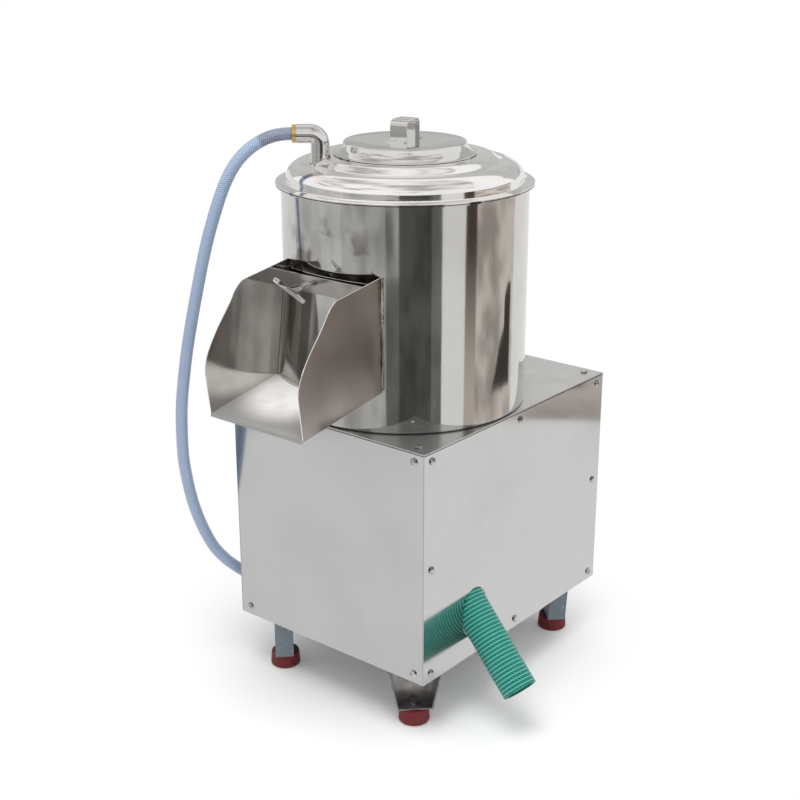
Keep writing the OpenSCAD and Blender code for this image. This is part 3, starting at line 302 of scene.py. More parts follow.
@dataclass(frozen=True)
class Mark:
    """A dark mark on a sheet.

    spread is the distances over which it fades out, and share its strength. patches is how many
    patches it has to a metre, or zero for an even mark, and patch the noise at their edges.
    """

    tint: Colour
    share: float
    spread: Span
    patches: float = 0.0
    detail: float = 2.0
    patch: Span = (0.0, 1.0)

    def blend(self, book: ShadeBook, tone: Sock, gap: Sock) -> Sock:
        """Blends the mark into a tone.

        Args:
            book: the finish's node tree.
            tone: the colour so far.
            gap: distance from the mark's place in metres.

        Returns:
            The colour with the mark.
        """
        near = 1 - gap.ramp(*self.spread)
        if self.patches:
            near = near * book.noise(self.patches, self.detail).ramp(*self.patch)
        return book.mixed(near * self.share, tone, self.tint)


WELD_HEAT = Mark((0.20, 0.13, 0.07), 0.7, (0.002, 0.013), 38.0, 2.0, (0.42, 0.62))
SCORCH = Mark((0.16, 0.12, 0.085), 0.75, (0.045, 0.125), 24.0, 4.0, (0.46, 0.62))
# Painted shadow: a thin dark line where the gap at a joint lies in shade.
SEAM_SHADOW = Mark((0.03, 0.028, 0.026), 0.9, (0.0008, 0.0021))
# Painted highlight along the cut edges of sheets.
CUT_EDGE_HIGHLIGHT: Colour = (0.97, 0.96, 0.94)
CUT_SPAN: Span = (0.35, 0.6)  # how far a face looks along the axis, from all cut to none
HIGHLIGHT_SPAN: Span = (0.07, 0.13)  # from the painted highlight to the painted shade round it
HIGHLIGHT_WAVER = 0.02  # how far the grain moves the painted highlight's edge
PAINTED_SHADE_SHARE = 0.36  # brightness of the painted shade round the highlight, against the shade colour


@dataclass(frozen=True)
class Steel:
    """A sheet or turned metal with its grain, dents and marks.

    heat is the Y of a weld line, and seam_shadow the height of a painted shadow line along the
    gap of a joint. scorch is the middle of a burnt patch, and wear_and_highlight the middle of a
    painted highlight with painted shade round it. cut_edge is the axis that the sheet faces, so
    that what doesn't face it, the sheet's cut edge, gets a painted highlight.
    """

    name: str
    colour: Colour
    shade: Colour
    rough: float
    rough_swing: float = 0.04
    grain: Grain = Grain.NONE
    grain_depth: float = 0.00002
    dent_depth: float = 0.0
    metal: float = 1.0
    cloud: float = 7.0
    heat: float | None = None
    seam_shadow: float | None = None
    scorch: Point | None = None
    cut_edge: str = ""
    wear_and_highlight: Point | None = None
    grain_scale: float = 22.0
    fine_scale: float = 420.0
    fine_share: float = 0.25
    dent_scale: float = 16.0
    shade_span: Span = (0.35, 0.7)
    rough_span: Span = (0.3, 0.7)

    def tone(self, book: ShadeBook, cloud: Sock, lines: Sock) -> Sock:
        """Colour of the sheet with its marks.

        Args:
            book: the finish's node tree.
            cloud: slow noise.
            lines: the grain's noise.

        Returns:
            The colour.
        """
        tone = book.mixed(cloud.ramp(*self.shade_span), self.colour, self.shade)
        if self.heat is not None:
            tone = WELD_HEAT.blend(book, tone, (book.axis("Y") - self.heat).absolute())
        if self.scorch is not None:
            tone = SCORCH.blend(book, tone, book.away(self.scorch))
        # Painted highlight: the sheet keeps its colour near the given middle and is painted dark
        # farther out.
        if self.wear_and_highlight is not None:
            painted_shade = (book.away(self.wear_and_highlight) + HIGHLIGHT_WAVER * lines).ramp(*HIGHLIGHT_SPAN)
            tone = book.mixed(painted_shade, tone, tuple(c * PAINTED_SHADE_SHARE for c in self.shade))
        # Painted highlight: faces that don't face the given axis, the sheet's cut edges, are
        # painted near white.
        if self.cut_edge:
            cut = 1 - book.facing(self.cut_edge).ramp(*CUT_SPAN)
            tone = book.mixed(cut, tone, CUT_EDGE_HIGHLIGHT)
        # Painted shadow along a joint's gap, as a thin dark line at the given height.
        if self.seam_shadow is not None:
            tone = SEAM_SHADOW.blend(book, tone, (book.axis("Z") - self.seam_shadow).absolute())
        return tone

    def build(self) -> bpy.types.Material:
        """Builds the material.

        Returns:
            The finished material.
        """
        book = ShadeBook(self.name)
        lines = book.noise(self.grain_scale, 3.0, book.stretched(self.grain.value))
        cloud = book.noise(self.cloud, 3.0)
        fine = book.noise(self.fine_scale)
        swing = cloud.ramp(*self.rough_span) + lines - 0.5
        book.set(Base_Color=self.tone(book, cloud, lines), Metallic=self.metal,
                 Roughness=self.rough + self.rough_swing * swing)
        dents = book.noise(self.dent_scale, 1.0)
        share = self.dent_depth / self.grain_depth
        book.bump(lines + self.fine_share * fine + dents * share, self.grain_depth)
        return book.material


@dataclass(frozen=True)
class Paint:
    """Sprayed paint, cloudy and chipped in small spots all over."""

    name: str
    colour: Colour
    wear_and_highlight: Colour
    rough: float = 0.42
    chip_scale: float = 95.0
    chip_span: Span = (0.66, 0.72)
    chip_share: float = 0.8
    cloud_scale: float = 14.0
    cloud_shade: float = 0.78
    rough_swing: float = 0.2
    rough_span: Span = (0.3, 0.8)
    texture: float = 600.0
    depth: float = 0.00006

    def build(self) -> bpy.types.Material:
        """Builds the material.

        Returns:
            The finished material.
        """
        book = ShadeBook(self.name)
        chips = book.noise(self.chip_scale, 4.0).ramp(*self.chip_span)
        cloud = book.noise(self.cloud_scale, 3.0)
        tone = book.mixed(cloud, self.colour, tuple(self.cloud_shade * c for c in self.colour))
        book.set(Base_Color=book.mixed(chips, tone, self.wear_and_highlight),
                 Roughness=self.rough + self.rough_swing * cloud.ramp(*self.rough_span))
        book.bump(book.noise(self.texture) - self.chip_share * chips, self.depth)
        return book.material


@dataclass(frozen=True)
class Moulded:
    """Rubber, plastic or bonded grit: one colour, dust and a surface texture."""

    name: str
    colour: Colour
    dust: Colour
    rough: float
    texture: float = 500.0
    depth: float = 0.00005
    dusty: float = 0.35
    dust_scale: float = 24.0
    dust_span: Span = (0.45, 0.75)
    rough_swing: float = 0.12

    def build(self) -> bpy.types.Material:
        """Builds the material.

        Returns:
            The finished material.
        """
        book = ShadeBook(self.name)
        grains = book.noise(self.texture, 3.0)
        cloud = book.noise(self.dust_scale, 4.0)
        dusty = self.dusty * cloud.ramp(*self.dust_span)
        book.set(Base_Color=book.mixed(dusty, self.colour, self.dust),
                 Roughness=self.rough + self.rough_swing * cloud)
        book.bump(grains, self.depth)
        return book.material


@dataclass(frozen=True)
class BraidedHose:
    """Clear blue hose with a pale crossed braid, dark where it sits on its nipple.

    turns is the number of threads each way round it and pitch their rise in one turn. dense is
    the stretch from the hose's start over which its dark end fades out.
    """

    name: str
    tube: Colour
    thread: Colour
    turns: float = 9.0
    pitch: float = 0.030
    dense: Span = (0.048, 0.056)
    dense_tube: Colour = (0.09, 0.09, 0.15)
    dense_thread: Colour = (0.28, 0.29, 0.36)
    dense_shares: tuple[float, float] = (0.8, 0.6)
    thread_span: Span = (0.32, 0.42)
    seen_span: Span = (0.1, 1.0)
    seen_share: float = 0.8
    rough: float = 0.24
    rough_swing: float = 0.1
    depth: float = 0.00008

    def build(self) -> bpy.types.Material:
        """Builds the material.

        Returns:
            The finished material.
        """
        book = ShadeBook(self.name)
        turn = book.along("X") * self.turns
        step = book.along("Y") * (self.turns / self.pitch)
        right = ((turn + step).fract() - 0.5).absolute()
        left = ((turn - step).fract() - 0.5).absolute()
        threads = right.ramp(*self.thread_span) + left.ramp(*self.thread_span)
        seen = threads.ramp(*self.seen_span)
        dense = 1 - book.along("Y").ramp(*self.dense)
        tube_share, thread_share = self.dense_shares
        tube = book.mixed(dense * tube_share, self.tube, self.dense_tube)
        thread = book.mixed(dense * thread_share, self.thread, self.dense_thread)
        book.set(Base_Color=book.mixed(seen * self.seen_share, tube, thread),
                 Roughness=self.rough + self.rough_swing * seen,
                 Coat_Weight=0.5, Coat_Roughness=0.12, IOR=1.5)
        book.bump(seen, self.depth)
        return book.material


@dataclass(frozen=True)
class RibbedHose:
    """Green hose with pale ribs and a dark slanting weave between them.

    slants is the number of slanting threads round it. rib_span and weave_span are shares of the
    pitch from a rib's middle, and slant_span is shares of a slant's width from its own middle.
    """

    name: str
    tube: Colour
    rib: Colour
    weave: Colour
    pitch: float = HOSE_PITCH
    slants: float = 34.0
    rib_span: Span = (0.03, 0.075)
    slant_span: Span = (0.12, 0.3)
    weave_span: Span = (0.14, 0.22)
    weave_share: float = 0.9
    cloud_scale: float = 26.0
    cloud_share: float = 0.3
    rough: float = 0.38
    rough_swing: float = 0.12
    weave_depth_share: float = 0.3
    depth: float = 0.0002

    def build(self) -> bpy.types.Material:
        """Builds the material.

        Returns:
            The finished material.
        """
        book = ShadeBook(self.name)
        step = book.along("Y") * (1.0 / self.pitch)
        gap = (step.fract() - 0.5).absolute()
        rib = 1 - gap.ramp(*self.rib_span)
        slant = ((book.along("X") * self.slants + step).fract() - 0.5).absolute()
        weave = (1 - slant.ramp(*self.slant_span)) * gap.ramp(*self.weave_span) * self.weave_share
        cloud = book.noise(self.cloud_scale)
        base = book.mixed(weave.ramp(0.0, 1.0), self.tube, self.weave)
        pale = rib * (1 - self.cloud_share + self.cloud_share * cloud)
        book.set(Base_Color=book.mixed(pale, base, self.rib),
                 Roughness=self.rough + self.rough_swing * cloud,
                 Coat_Weight=0.12, Coat_Roughness=0.2)
        book.bump(weave * self.weave_depth_share + rib, self.depth)
        return book.material


Finish = Union[Steel, Paint, Moulded, BraidedHose, RibbedHose]

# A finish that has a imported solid's name is that solid's own. The others are material slots.
# The dents of the clamp and the welds are far deeper than real ones, which tilts the shading of
# these small pieces.
FINISHES: tuple[Finish, ...] = (
    Steel("mirror_steel", (0.70, 0.695, 0.68), (0.66, 0.65, 0.635), 0.06, 0.03, Grain.LEVEL,
          grain_depth=0.000003, dent_depth=0.00014),
    Steel("cover_shell", (0.90, 0.885, 0.87), (0.78, 0.765, 0.75), 0.075, 0.03, Grain.LEVEL,
          grain_depth=0.000003, dent_depth=0.00018),
    # The seam heights of drum_shell and satin_steel are painted shadow lines where they meet the
    # top plate.
    Steel("drum_shell", (0.70, 0.695, 0.68), (0.64, 0.63, 0.61), 0.06, 0.03, Grain.LEVEL,
          grain_depth=0.000003, dent_depth=0.00014, seam_shadow=0.5008, scorch=(0.0, -0.185, 0.757)),
    Steel("satin_steel", (0.56, 0.56, 0.555), (0.53, 0.53, 0.525), 0.085, 0.03, Grain.LEVEL,
          grain_depth=0.000003, dent_depth=0.000008, seam_shadow=0.498),
    Steel("top_plate", (0.55, 0.55, 0.545), (0.49, 0.49, 0.485), 0.21, 0.05, Grain.LEVEL,
          grain_depth=0.000004, dent_depth=0.00002, metal=0.94),
    Steel("chute_steel", (0.62, 0.59, 0.56), (0.40, 0.38, 0.355), 0.13, 0.05, Grain.UPRIGHT,
          grain_depth=0.000002, dent_depth=0.00002, metal=0.93, heat=HEAT_Y),
    # barely metallic, with a painted highlight in its middle.
    # cheek_left, cheek_right and chute_floor are copies of the chute's steel with painted light
    # and shade:
    # the left cheek painted lighter, the right cheek painted darker, and the floor near white and
    Steel("cheek_left", (0.70, 0.67, 0.64), (0.46, 0.44, 0.415), 0.07, 0.05, Grain.UPRIGHT,
          grain_depth=0.000002, dent_depth=0.00002, metal=0.93, heat=HEAT_Y, cut_edge="X"),
    Steel("cheek_right", (0.39, 0.355, 0.33), (0.28, 0.255, 0.235), 0.14, 0.05, Grain.LEVEL,
          grain_depth=0.000002, dent_depth=0.00002, metal=0.93, heat=HEAT_Y, cut_edge="X"),
    Steel("chute_floor", (0.98, 0.975, 0.96), (0.86, 0.85, 0.83), 0.3, 0.06, Grain.UPRIGHT,
          grain_depth=0.000003, dent_depth=0.00002, metal=0.03, cloud=26.0,
          wear_and_highlight=(-0.012, -0.22, 0.515)),
    Steel("fastener_steel", (0.60, 0.59, 0.58), (0.20, 0.20, 0.195), 0.13, 0.08,
          grain_depth=0.00001, cloud=110.0),
    Steel("clamp_bar", (0.90, 0.89, 0.87), (0.74, 0.73, 0.71), 0.2, 0.06,
          grain_depth=0.00001, dent_depth=0.7),
    Steel("clamp_screw", (0.72, 0.71, 0.69), (0.58, 0.57, 0.55), 0.2, 0.06,
          grain_depth=0.00001, dent_depth=0.85),
    Steel("leg_fr", (0.33, 0.32, 0.31), (0.17, 0.155, 0.145), 0.34, 0.1, Grain.UPRIGHT,
          metal=0.75, cloud=40.0),
    Steel("cast_iron", (0.20, 0.20, 0.21), (0.12, 0.12, 0.12), 0.62, 0.1, grain_depth=0.0001),
    Steel("cast_aluminium", (0.58, 0.58, 0.59), (0.48, 0.48, 0.49), 0.48, 0.1,
          grain_depth=0.00008),
    Steel("brass", (0.74, 0.55, 0.26), (0.58, 0.42, 0.2), 0.28, 0.08),
    Steel("weld", (0.90, 0.88, 0.84), (0.34, 0.28, 0.21), 0.24, 0.12,
          grain_depth=0.0001, dent_depth=0.85),
    Paint("leg_paint", (0.19, 0.225, 0.26), (0.42, 0.43, 0.43)),
    Paint("frame_paint", (0.10, 0.11, 0.12), (0.3, 0.25, 0.2)),
    Paint("motor_paint", (0.10, 0.19, 0.32), (0.3, 0.3, 0.3), 0.36),
    Moulded("foot_rubber", (0.15, 0.007, 0.009), (0.22, 0.09, 0.08), 0.6, dusty=0.08),
    Moulded("black_rubber", (0.02, 0.02, 0.02), (0.12, 0.12, 0.11), 0.6),
    Moulded("abrasive", (0.08, 0.08, 0.085), (0.2, 0.19, 0.18), 0.9, texture=380.0,
            depth=0.0009),
    Moulded("black_plastic", (0.025, 0.025, 0.026), (0.1, 0.1, 0.1), 0.4),
    Moulded("grey_plastic", (0.26, 0.27, 0.28), (0.34, 0.34, 0.33), 0.45),
    BraidedHose("hose_blue", (0.20, 0.29, 0.46), (0.50, 0.59, 0.71)),
    RibbedHose("hose_green", (0.0, 0.27, 0.20), (0.34, 0.92, 0.80), (0.0, 0.055, 0.045)),
)

BEAD_STEP = 0.0012  # from ring to ring along a weld bead
BEAD_DROP = 0.0042  # length of one drop of a weld bead
BEAD_DIP = 0.14  # how far a bead's radius falls between two drops, as a share
BEAD_WAVER: Span = (0.82, 1.06)  # unevenness of a bead's radius
BEAD_SIDES = 10


class Workshop:
    """Makes finishes and meshes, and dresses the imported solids."""

    def __init__(self) -> None:
        """Builds every finish once."""
        self.finish = {finish.name: finish.build() for finish in FINISHES}

    def dress_nodes(self) -> None:
        """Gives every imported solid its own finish, or else that of its material slot."""
        for row in frame["record"]["subparts"]:
            solid = frame["nodes"][row["node"]]
            solid.data.materials.clear()
            own = row["node"] if row["node"] in self.finish else row["material_slot"]
            solid.data.materials.append(self.finish[own])

    def piece(self, name: str, verts: Sequence[Point], faces: Sequence[Sequence[int]],
              finish: str, body: str, uvs: Sequence[Sequence[Spot]] | None = None
              ) -> bpy.types.Object:
        """Makes a smoothly shaded mesh piece that rides on a body.

        Args:
            name: the piece's name.
            verts: its points.
            faces: its faces as point numbers.
            finish: name of its finish.
            body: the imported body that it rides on.
            uvs: for each face, the place of each corner on the UV map.

        Returns:
            The piece.
        """
        mesh = bpy.data.meshes.new(name)
        mesh.from_pydata([tuple(v) for v in verts], [], [tuple(f) for f in faces])
        if uvs:
            layer = mesh.uv_layers.new(name="UVMap")
            for polygon, corners in zip(mesh.polygons, uvs):
                for loop, corner in zip(polygon.loop_indices, corners):
                    layer.data[loop].uv = corner
        for polygon in mesh.polygons:
            polygon.use_smooth = True
        mesh.materials.append(self.finish[finish])
        made = bpy.data.objects.new(name, mesh)
        bpy.context.scene.collection.objects.link(made)
        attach(made, body)
        LOG.info("piece %s on %s, %d faces", name, body, len(mesh.polygons))
        return made

    def tube(self, name: str, path: Sequence[Vector], radius: Callable[[float], float],
             finish: str, body: str, sides: int = 24, bore: float = 0.0) -> bpy.types.Object:
        """Makes a round tube along a path, closed at its ends or with a bore.

        Args:
            name: the piece's name.
            path: points of the middle line.
            radius: outside radius from metres along the path.
            finish: name of its finish.
            body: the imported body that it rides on.
            sides: number of sides.
            bore: radius of the bore, or zero for a closed end.

        Returns:
            The tube.
        """
        runs = [0.0]
        for first, second in zip(path, path[1:]):
            runs.append(runs[-1] + (second - first).length)
        verts: list[Point] = []
        side = Vector((0.0, 0.0, 1.0)).cross(path[1] - path[0])
        if side.length < TINY:
            side = Vector((0.0, 1.0, 0.0))
        walls = [radius] + ([lambda run: bore] if bore else [])
        for wall in walls:
            across = side.normalized()
            for k, point in enumerate(path):
                way = (path[min(k + 1, len(path) - 1)] - path[max(k - 1, 0)]).normalized()
                across = (across - way * across.dot(way)).normalized()
                upward = way.cross(across)
                r = wall(runs[k])
                for i in range(sides):
                    turn = 2 * math.pi * i / sides
                    verts.append(point + (across * math.cos(turn) + upward * math.sin(turn)) * r)
        faces: list[list[int]] = []
        uvs: list[list[Spot]] = []
        for w in range(len(walls)):
            first = w * len(path) * sides
            for k in range(len(path) - 1):
                for i in range(sides):
                    j = (i + 1) % sides
                    a, b = first + k * sides, first + (k + 1) * sides
                    quad = [a + i, a + j, b + j, b + i]
                    spots = [(i / sides, runs[k]), ((i + 1) / sides, runs[k]),
                             ((i + 1) / sides, runs[k + 1]), (i / sides, runs[k + 1])]
                    faces.append(quad if w == 0 else quad[::-1])
                    uvs.append(spots if w == 0 else spots[::-1])
        last = (len(path) - 1) * sides
        if bore:
            inner = len(path) * sides
            for a, flip in ((0, True), (last, False)):
                for i in range(sides):
                    j = (i + 1) % sides
                    quad = [a + i, a + j, inner + a + j, inner + a + i]
                    faces.append(quad[::-1] if flip else quad)
                    uvs.append([(0.0, runs[0])] * 4)
        else:
            faces += [list(range(sides))[::-1], [last + i for i in range(sides)]]
            uvs += [[(0.0, runs[0])] * sides, [(0.0, runs[-1])] * sides]
        return self.piece(name, verts, faces, finish, body, uvs)

    def weld(self, name: str, start: Point, end: Point, size: float, body: str,
             seed: int) -> bpy.types.Object:
        """Lays a weld bead of overlapping drops along a line.

        Args:
            name: the piece's name.
            start: first point.
            end: last point.
            size: radius of the bead.
            body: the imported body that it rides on.
            seed: seed of its unevenness.

        Returns:
            The bead.
        """
        chance = random.Random(seed)
        first, last = Vector(start), Vector(end)
        count = int((last - first).length / BEAD_STEP)
        wobble = [chance.uniform(*BEAD_WAVER) for _ in range(count + 1)]
        path = [first.lerp(last, i / count) for i in range(count + 1)]

        def radius(run: float) -> float:
            """Radius of the bead.

            Args:
                run: metres along it.

            Returns:
                The radius in metres.
            """
            drop = 1 - BEAD_DIP + BEAD_DIP * abs(math.sin(math.pi * run / BEAD_DROP))
            return size * drop * wobble[min(count, int(run / BEAD_STEP))]

        return self.tube(name, path, radius, "weld", body, BEAD_SIDES)


def smooth_route(points: Sequence[Point], steps: int) -> list[Vector]:
    """Rounds a route.

    Args:
        points: the route's points.
        steps: points to make for each stretch.

    Returns:
        Points of a smooth curve through them.
    """
    line: list[Vector] = []
    last = len(points) - 1
    for i in range(last):
        a, b, c, d = (Vector(points[j]) for j in (max(i - 1, 0), i, i + 1, min(i + 2, last)))
        for k in range(steps):
            t = k / steps
            line.append(0.5 * (2 * b + (c - a) * t + (2 * a - 5 * b + 4 * c - d) * t * t
                               + (3 * b - a - 3 * c + d) * t ** 3))
    return line + [Vector(points[-1])]


def route_length(path: Sequence[Vector]) -> float:
    """Length of a path in metres."""
    return sum((b - a).length for a, b in zip(path, path[1:]))


# Sub-assemblies


@dataclass
class Viewpoint:
    """The photograph's camera, with its turn in degrees and its lens in millimetres."""

    place: Point = (1.40996, -1.72444, 1.28179)
    turn: Point = (70.467, 0.05, 39.184)
    lens: float = 63.147
    sensor: float = 36.0

    def build(self) -> None:
        """Makes the camera and hands it to the scene."""
        data = bpy.data.cameras.new("viewpoint")
        data.lens = self.lens
        data.sensor_width = self.sensor
        made = bpy.data.objects.new("viewpoint", data)
        made.location = self.place
        made.rotation_euler = Euler([math.radians(a) for a in self.turn])
        bpy.context.scene.collection.objects.link(made)
        bpy.context.scene.camera = made


@dataclass
class WaterHose:
    """Braided hose from the elbow's nipple to the tap connector.

    arch is how far out and how far down from the outlet each point lies, and beside the points
    down to the floor and along it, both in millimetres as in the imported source.
    """

    radius: float = 0.010
    steps: int = 6
    outlet: Point = (-0.07598, -0.09949, 0.9425)
    turn: float = 221.0
    arch: tuple[Spot, ...] = (
        (43.4, 0), (60, 1), (78, 5), (97, 14), (115, 27), (131, 44), (145, 66), (156, 90),
        (166, 117), (179, 157), (190, 197), (203, 252), (214, 302), (224, 352), (232, 402),
        (238, 452))
    beside: tuple[Point, ...] = (
        (-258, -256, 440), (-261, -252, 390), (-263, -238, 322), (-263, -220, 268),
        (-259, -199, 220), (-251, -180, 190), (-241, -162, 169), (-233, -139, 148),
        (-228, -107, 128), (-226, -72, 108), (-226, -32, 88), (-226, 13, 66),
        (-227, 63, 45), (-229, 113, 28), (-231, 163, 17), (-233, 213, 11), (-233, 263, 10),
        (-230, 313, 10), (-214, 356, 10), (-182, 389, 10), (-138, 404, 11), (-90, 408, 13),
        (-40, 408, 16), (10, 408, 16))

    def route(self) -> list[Point]:
        """Joins the arch from the elbow and the fall to the floor.

        Returns:
            The hose's points in metres.
        """
        x, y, z = self.outlet
        way = math.radians(self.turn)
        arch = [(x + out / MILLI * math.cos(way), y + out / MILLI * math.sin(way),
                 z - drop / MILLI) for out, drop in self.arch]
        return arch + [(a / MILLI, b / MILLI, c / MILLI) for a, b, c in self.beside]

    def build(self, shop: Workshop) -> None:
        """Args:
            shop: maker of meshes and finishes.
        """
        path = smooth_route(self.route(), self.steps)
        hose = shop.tube("hose_water", path, lambda run: self.radius, "hose_blue", "cover")
        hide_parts("water_hose")
        route_length(path)


@dataclass
class DrainHose:
    """Ribbed hose from the waste spigot out through the right panel.

    half_width, inset and height place the hole in the panel: out from the middle, back from the
    front panel and over the floor. fall and turn are degrees down and towards the front, lead and
    outside the straight runs on both sides of it, and top the start's height over the top plate.
    valley is the radius between two ribs, and crest half a rib's width as a share of the pitch.
    """

    half_width: float = 0.203
    inset: float = 0.134
    height: float = 0.183
    fall: float = 42.0
    turn: float = 10.0
    outside: float = 0.148
    bend: float = 0.250
    lead: float = 0.015
    top: float = -0.005
    radius: float = 0.030
    valley: float = 0.0293
    bore: float = 0.025
    pitch: float = HOSE_PITCH
    crest: float = 0.17
    rib_rings: int = 8
    sides: int = 48

    def path(self) -> list[Vector]:
        """Goes down from the spigot, round a bend and out.

        Returns:
            Points of the hose's middle line.
        """
        arc = math.radians(90 - self.fall)
        fall, turn = math.radians(self.fall), math.radians(self.turn)
        arc_h = -self.lead * math.cos(fall) - self.bend * (1 - math.cos(arc))
        arc_z = self.height - BASE_TOP + self.lead * math.sin(fall) + self.bend * math.sin(arc)
        drop, arc_l = self.top - arc_z, self.bend * arc
        total = drop + arc_l + self.lead + self.outside
        steps = int(total / self.pitch) * self.rib_rings
        line = []
        for k in range(steps + 1):
            s = total * k / steps
            if s < drop:
                h, z = arc_h, self.top - s
            elif s < drop + arc_l:
                a = (s - drop) / self.bend
                h, z = arc_h + self.bend * (1 - math.cos(a)), arc_z - self.bend * math.sin(a)
            else:
                t = s - drop - arc_l - self.lead
                h, z = t * math.cos(fall), self.height - BASE_TOP - t * math.sin(fall)
            line.append(Vector((self.half_width + h * math.cos(turn),
                                FRONT_Y + self.inset - h * math.sin(turn), BASE_TOP + z)))
        return line

    def build(self, shop: Workshop) -> None:
        """Args:
            shop: maker of meshes and finishes.
        """
        path = self.path()

        def radius(run: float) -> float:
            """Radius of the hose, with one narrow rounded rib to a pitch.

            Args:
                run: metres along it.

            Returns:
                The radius in metres.
            """
            off = abs((run / self.pitch) % 1.0 - 0.5)
            swell = max(0.0, 1 - (off / self.crest) ** 2)
            return self.valley + (self.radius - self.valley) * swell

        hose = shop.tube("hose_drain", path, radius, "hose_green", "base", self.sides, self.bore)
        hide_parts("drain_hose")
        route_length(path)


@dataclass
class ChuteWelds:
    """Weld beads between the chute's cheeks and the drum."""

    drum_line: float = 0.0291
    low: float = 0.073
    high: float = 0.250
    size: float = 0.0028
    outset: float = 0.0008
    seed: int = 3

    def build(self, shop: Workshop) -> None:
        """Lays the beads.

        Args:
            shop: maker of meshes and finishes.
        """
        y = FRONT_Y + self.drum_line
        for side, name in ((-1, "left"), (1, "right")):
            x = side * (CHUTE_HALF + self.outset)
            shop.weld(f"weld_cheek_{name}", (x, y, BASE_TOP + self.low),
                      (x, y, BASE_TOP + self.high), self.size, "base", self.seed + side)


@dataclass
class TurnedTop:
    """Smooth spun sheets of the cover and the lid, turned from their profiles.

    low and lid_low are the heights of their feet, and names ending in _h are heights over these.
    sheet is the thickness, and lid_sag how far the lid's flare is hollow. The other sizes of a
    section are distances from the drum's axis.
    """

    low: float = 0.8613
    sheet: float = 0.0015
    rim: float = 0.208
    wall: float = 0.191
    wall_h: float = 0.010
    ridge: float = 0.158
    ridge_h: float = 0.034
    ledge: float = 0.136
    ledge_h: float = 0.044
    neck: float = 0.102
    neck_h: float = 0.051
    lid_low: float = 0.9059
    lid_rim: float = 0.115
    lid_wall: float = 0.112
    lid_top: float = 0.097
    lid_h: float = 0.0195
    lid_sag: float = 0.0022
    lid_sag_share: float = 0.8
    lid_ring_shares: tuple[float, float] = (0.66, 0.33)
    lid_edge_shares: tuple[float, float] = (0.5, 0.25)
    foot_edge_share: float = 0.3
    inlet: Spot = (-0.07598, -0.09949)
    hole: float = 0.0168
    hole_sides: int = 48
    cut_below: float = 0.05
    cut_above: float = 0.1
    sides: int = 192
    steps: int = 28

    def shoulder(self, inset: float) -> list[Spot]:
        """Points of the cover's shoulder and its S-shaped rise, from the wall inward.

        Args:
            inset: how far inside the outer face the points lie.

        Returns:
            Distance from the axis and height, in metres.
        """
        across = self.wall - self.ridge - inset
        rise = self.ridge_h - self.wall_h - inset
        line = []
        for k in range(self.steps + 1):
            a = math.pi / 2 * k / self.steps
            line.append((self.ridge + across * math.cos(a), self.wall_h + rise * math.sin(a)))
        for k in range(1, self.steps + 1):
            t = k / self.steps
            step = (self.ledge_h - self.ridge_h) * (1 - math.cos(math.pi * t)) / 2
            line.append((self.ridge + (self.ledge - self.ridge) * t, self.ridge_h + step - inset))
        return line

    def turned(self, shop: Workshop, name: str, profile: Sequence[Spot], low: float, body: str,
               finish: str) -> bpy.types.Object:
        """Turns a closed profile about the drum's axis.

        Args:
            shop: maker of meshes and finishes.
            name: the piece's name.
            profile: distances from the axis and heights, all round the section.
            low: height of the profile's zero over the floor.
            body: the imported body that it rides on.
            finish: name of its finish.

        Returns:
            The turned piece.
        """
        verts: list[Point] = []
        rows: list[list[int]] = []
        for r, z in profile:
            first = len(verts)
            count = self.sides if r > 0 else 1
            for i in range(count):
                a = 2 * math.pi * i / self.sides
                verts.append((r * math.cos(a), AXIS_Y + r * math.sin(a), low + z))
            rows.append([first + i % count for i in range(self.sides)])
        faces = []
        for one, two in zip(rows, rows[1:] + rows[:1]):
            for i in range(self.sides):
                j = (i + 1) % self.sides
                loop = [one[i], two[i], two[j], one[j]]
                loop = [v for k, v in enumerate(loop) if v != loop[k - 1]]
                if len(loop) > 2:
                    faces.append(loop)
        return shop.piece(name, verts, faces, finish, body)

    def pierce(self, made: bpy.types.Object) -> None:
        """Cuts the inlet's hole through the cover.

        Args:
            made: the cover.
        """
        x, y = self.inlet
        n = self.hole_sides
        verts = [(x + self.hole * math.cos(2 * math.pi * i / n),
                  y + self.hole * math.sin(2 * math.pi * i / n), z)
                 for z in (self.low - self.cut_below, self.low + self.cut_above)
                 for i in range(n)]
        faces = [[i, (i + 1) % n, n + (i + 1) % n, n + i] for i in range(n)]
        mesh = bpy.data.meshes.new("cutter")
        mesh.from_pydata(verts, [], faces + [list(range(n))[::-1], list(range(n, 2 * n))])
        cutter = bpy.data.objects.new("cutter", mesh)
        bpy.context.scene.collection.objects.link(cutter)
        cut = made.modifiers.new("cut", "BOOLEAN")
        cut.operation = "DIFFERENCE"
        cut.solver = "EXACT"
        cut.object = cutter
        whole = made.evaluated_get(bpy.context.evaluated_depsgraph_get())
        pierced = bpy.data.meshes.new_from_object(whole)
        made.modifiers.clear()
        made.data = pierced
        bpy.data.objects.remove(cutter)

    def cover_profile(self) -> list[Spot]:
        """Goes from the rim over the shoulder to the neck, and back under the sheet.

        Returns:
            The cover's section, as distances from the axis and heights.
        """
        t = self.sheet
        foot = [(self.wall - t, 0.0), (self.rim, 0.0), (self.rim, t), (self.wall + t, t),
                (self.wall + t * self.foot_edge_share, t * (1 + self.foot_edge_share)),
                (self.wall, t * 2)]
        neck = [(self.neck + t, self.ledge_h), (self.neck, self.ledge_h + t),
                (self.neck, self.neck_h), (self.neck - t, self.neck_h),
                (self.neck - t, self.ledge_h - t)]
        return foot + self.shoulder(0.0) + neck + self.shoulder(t)[::-1]

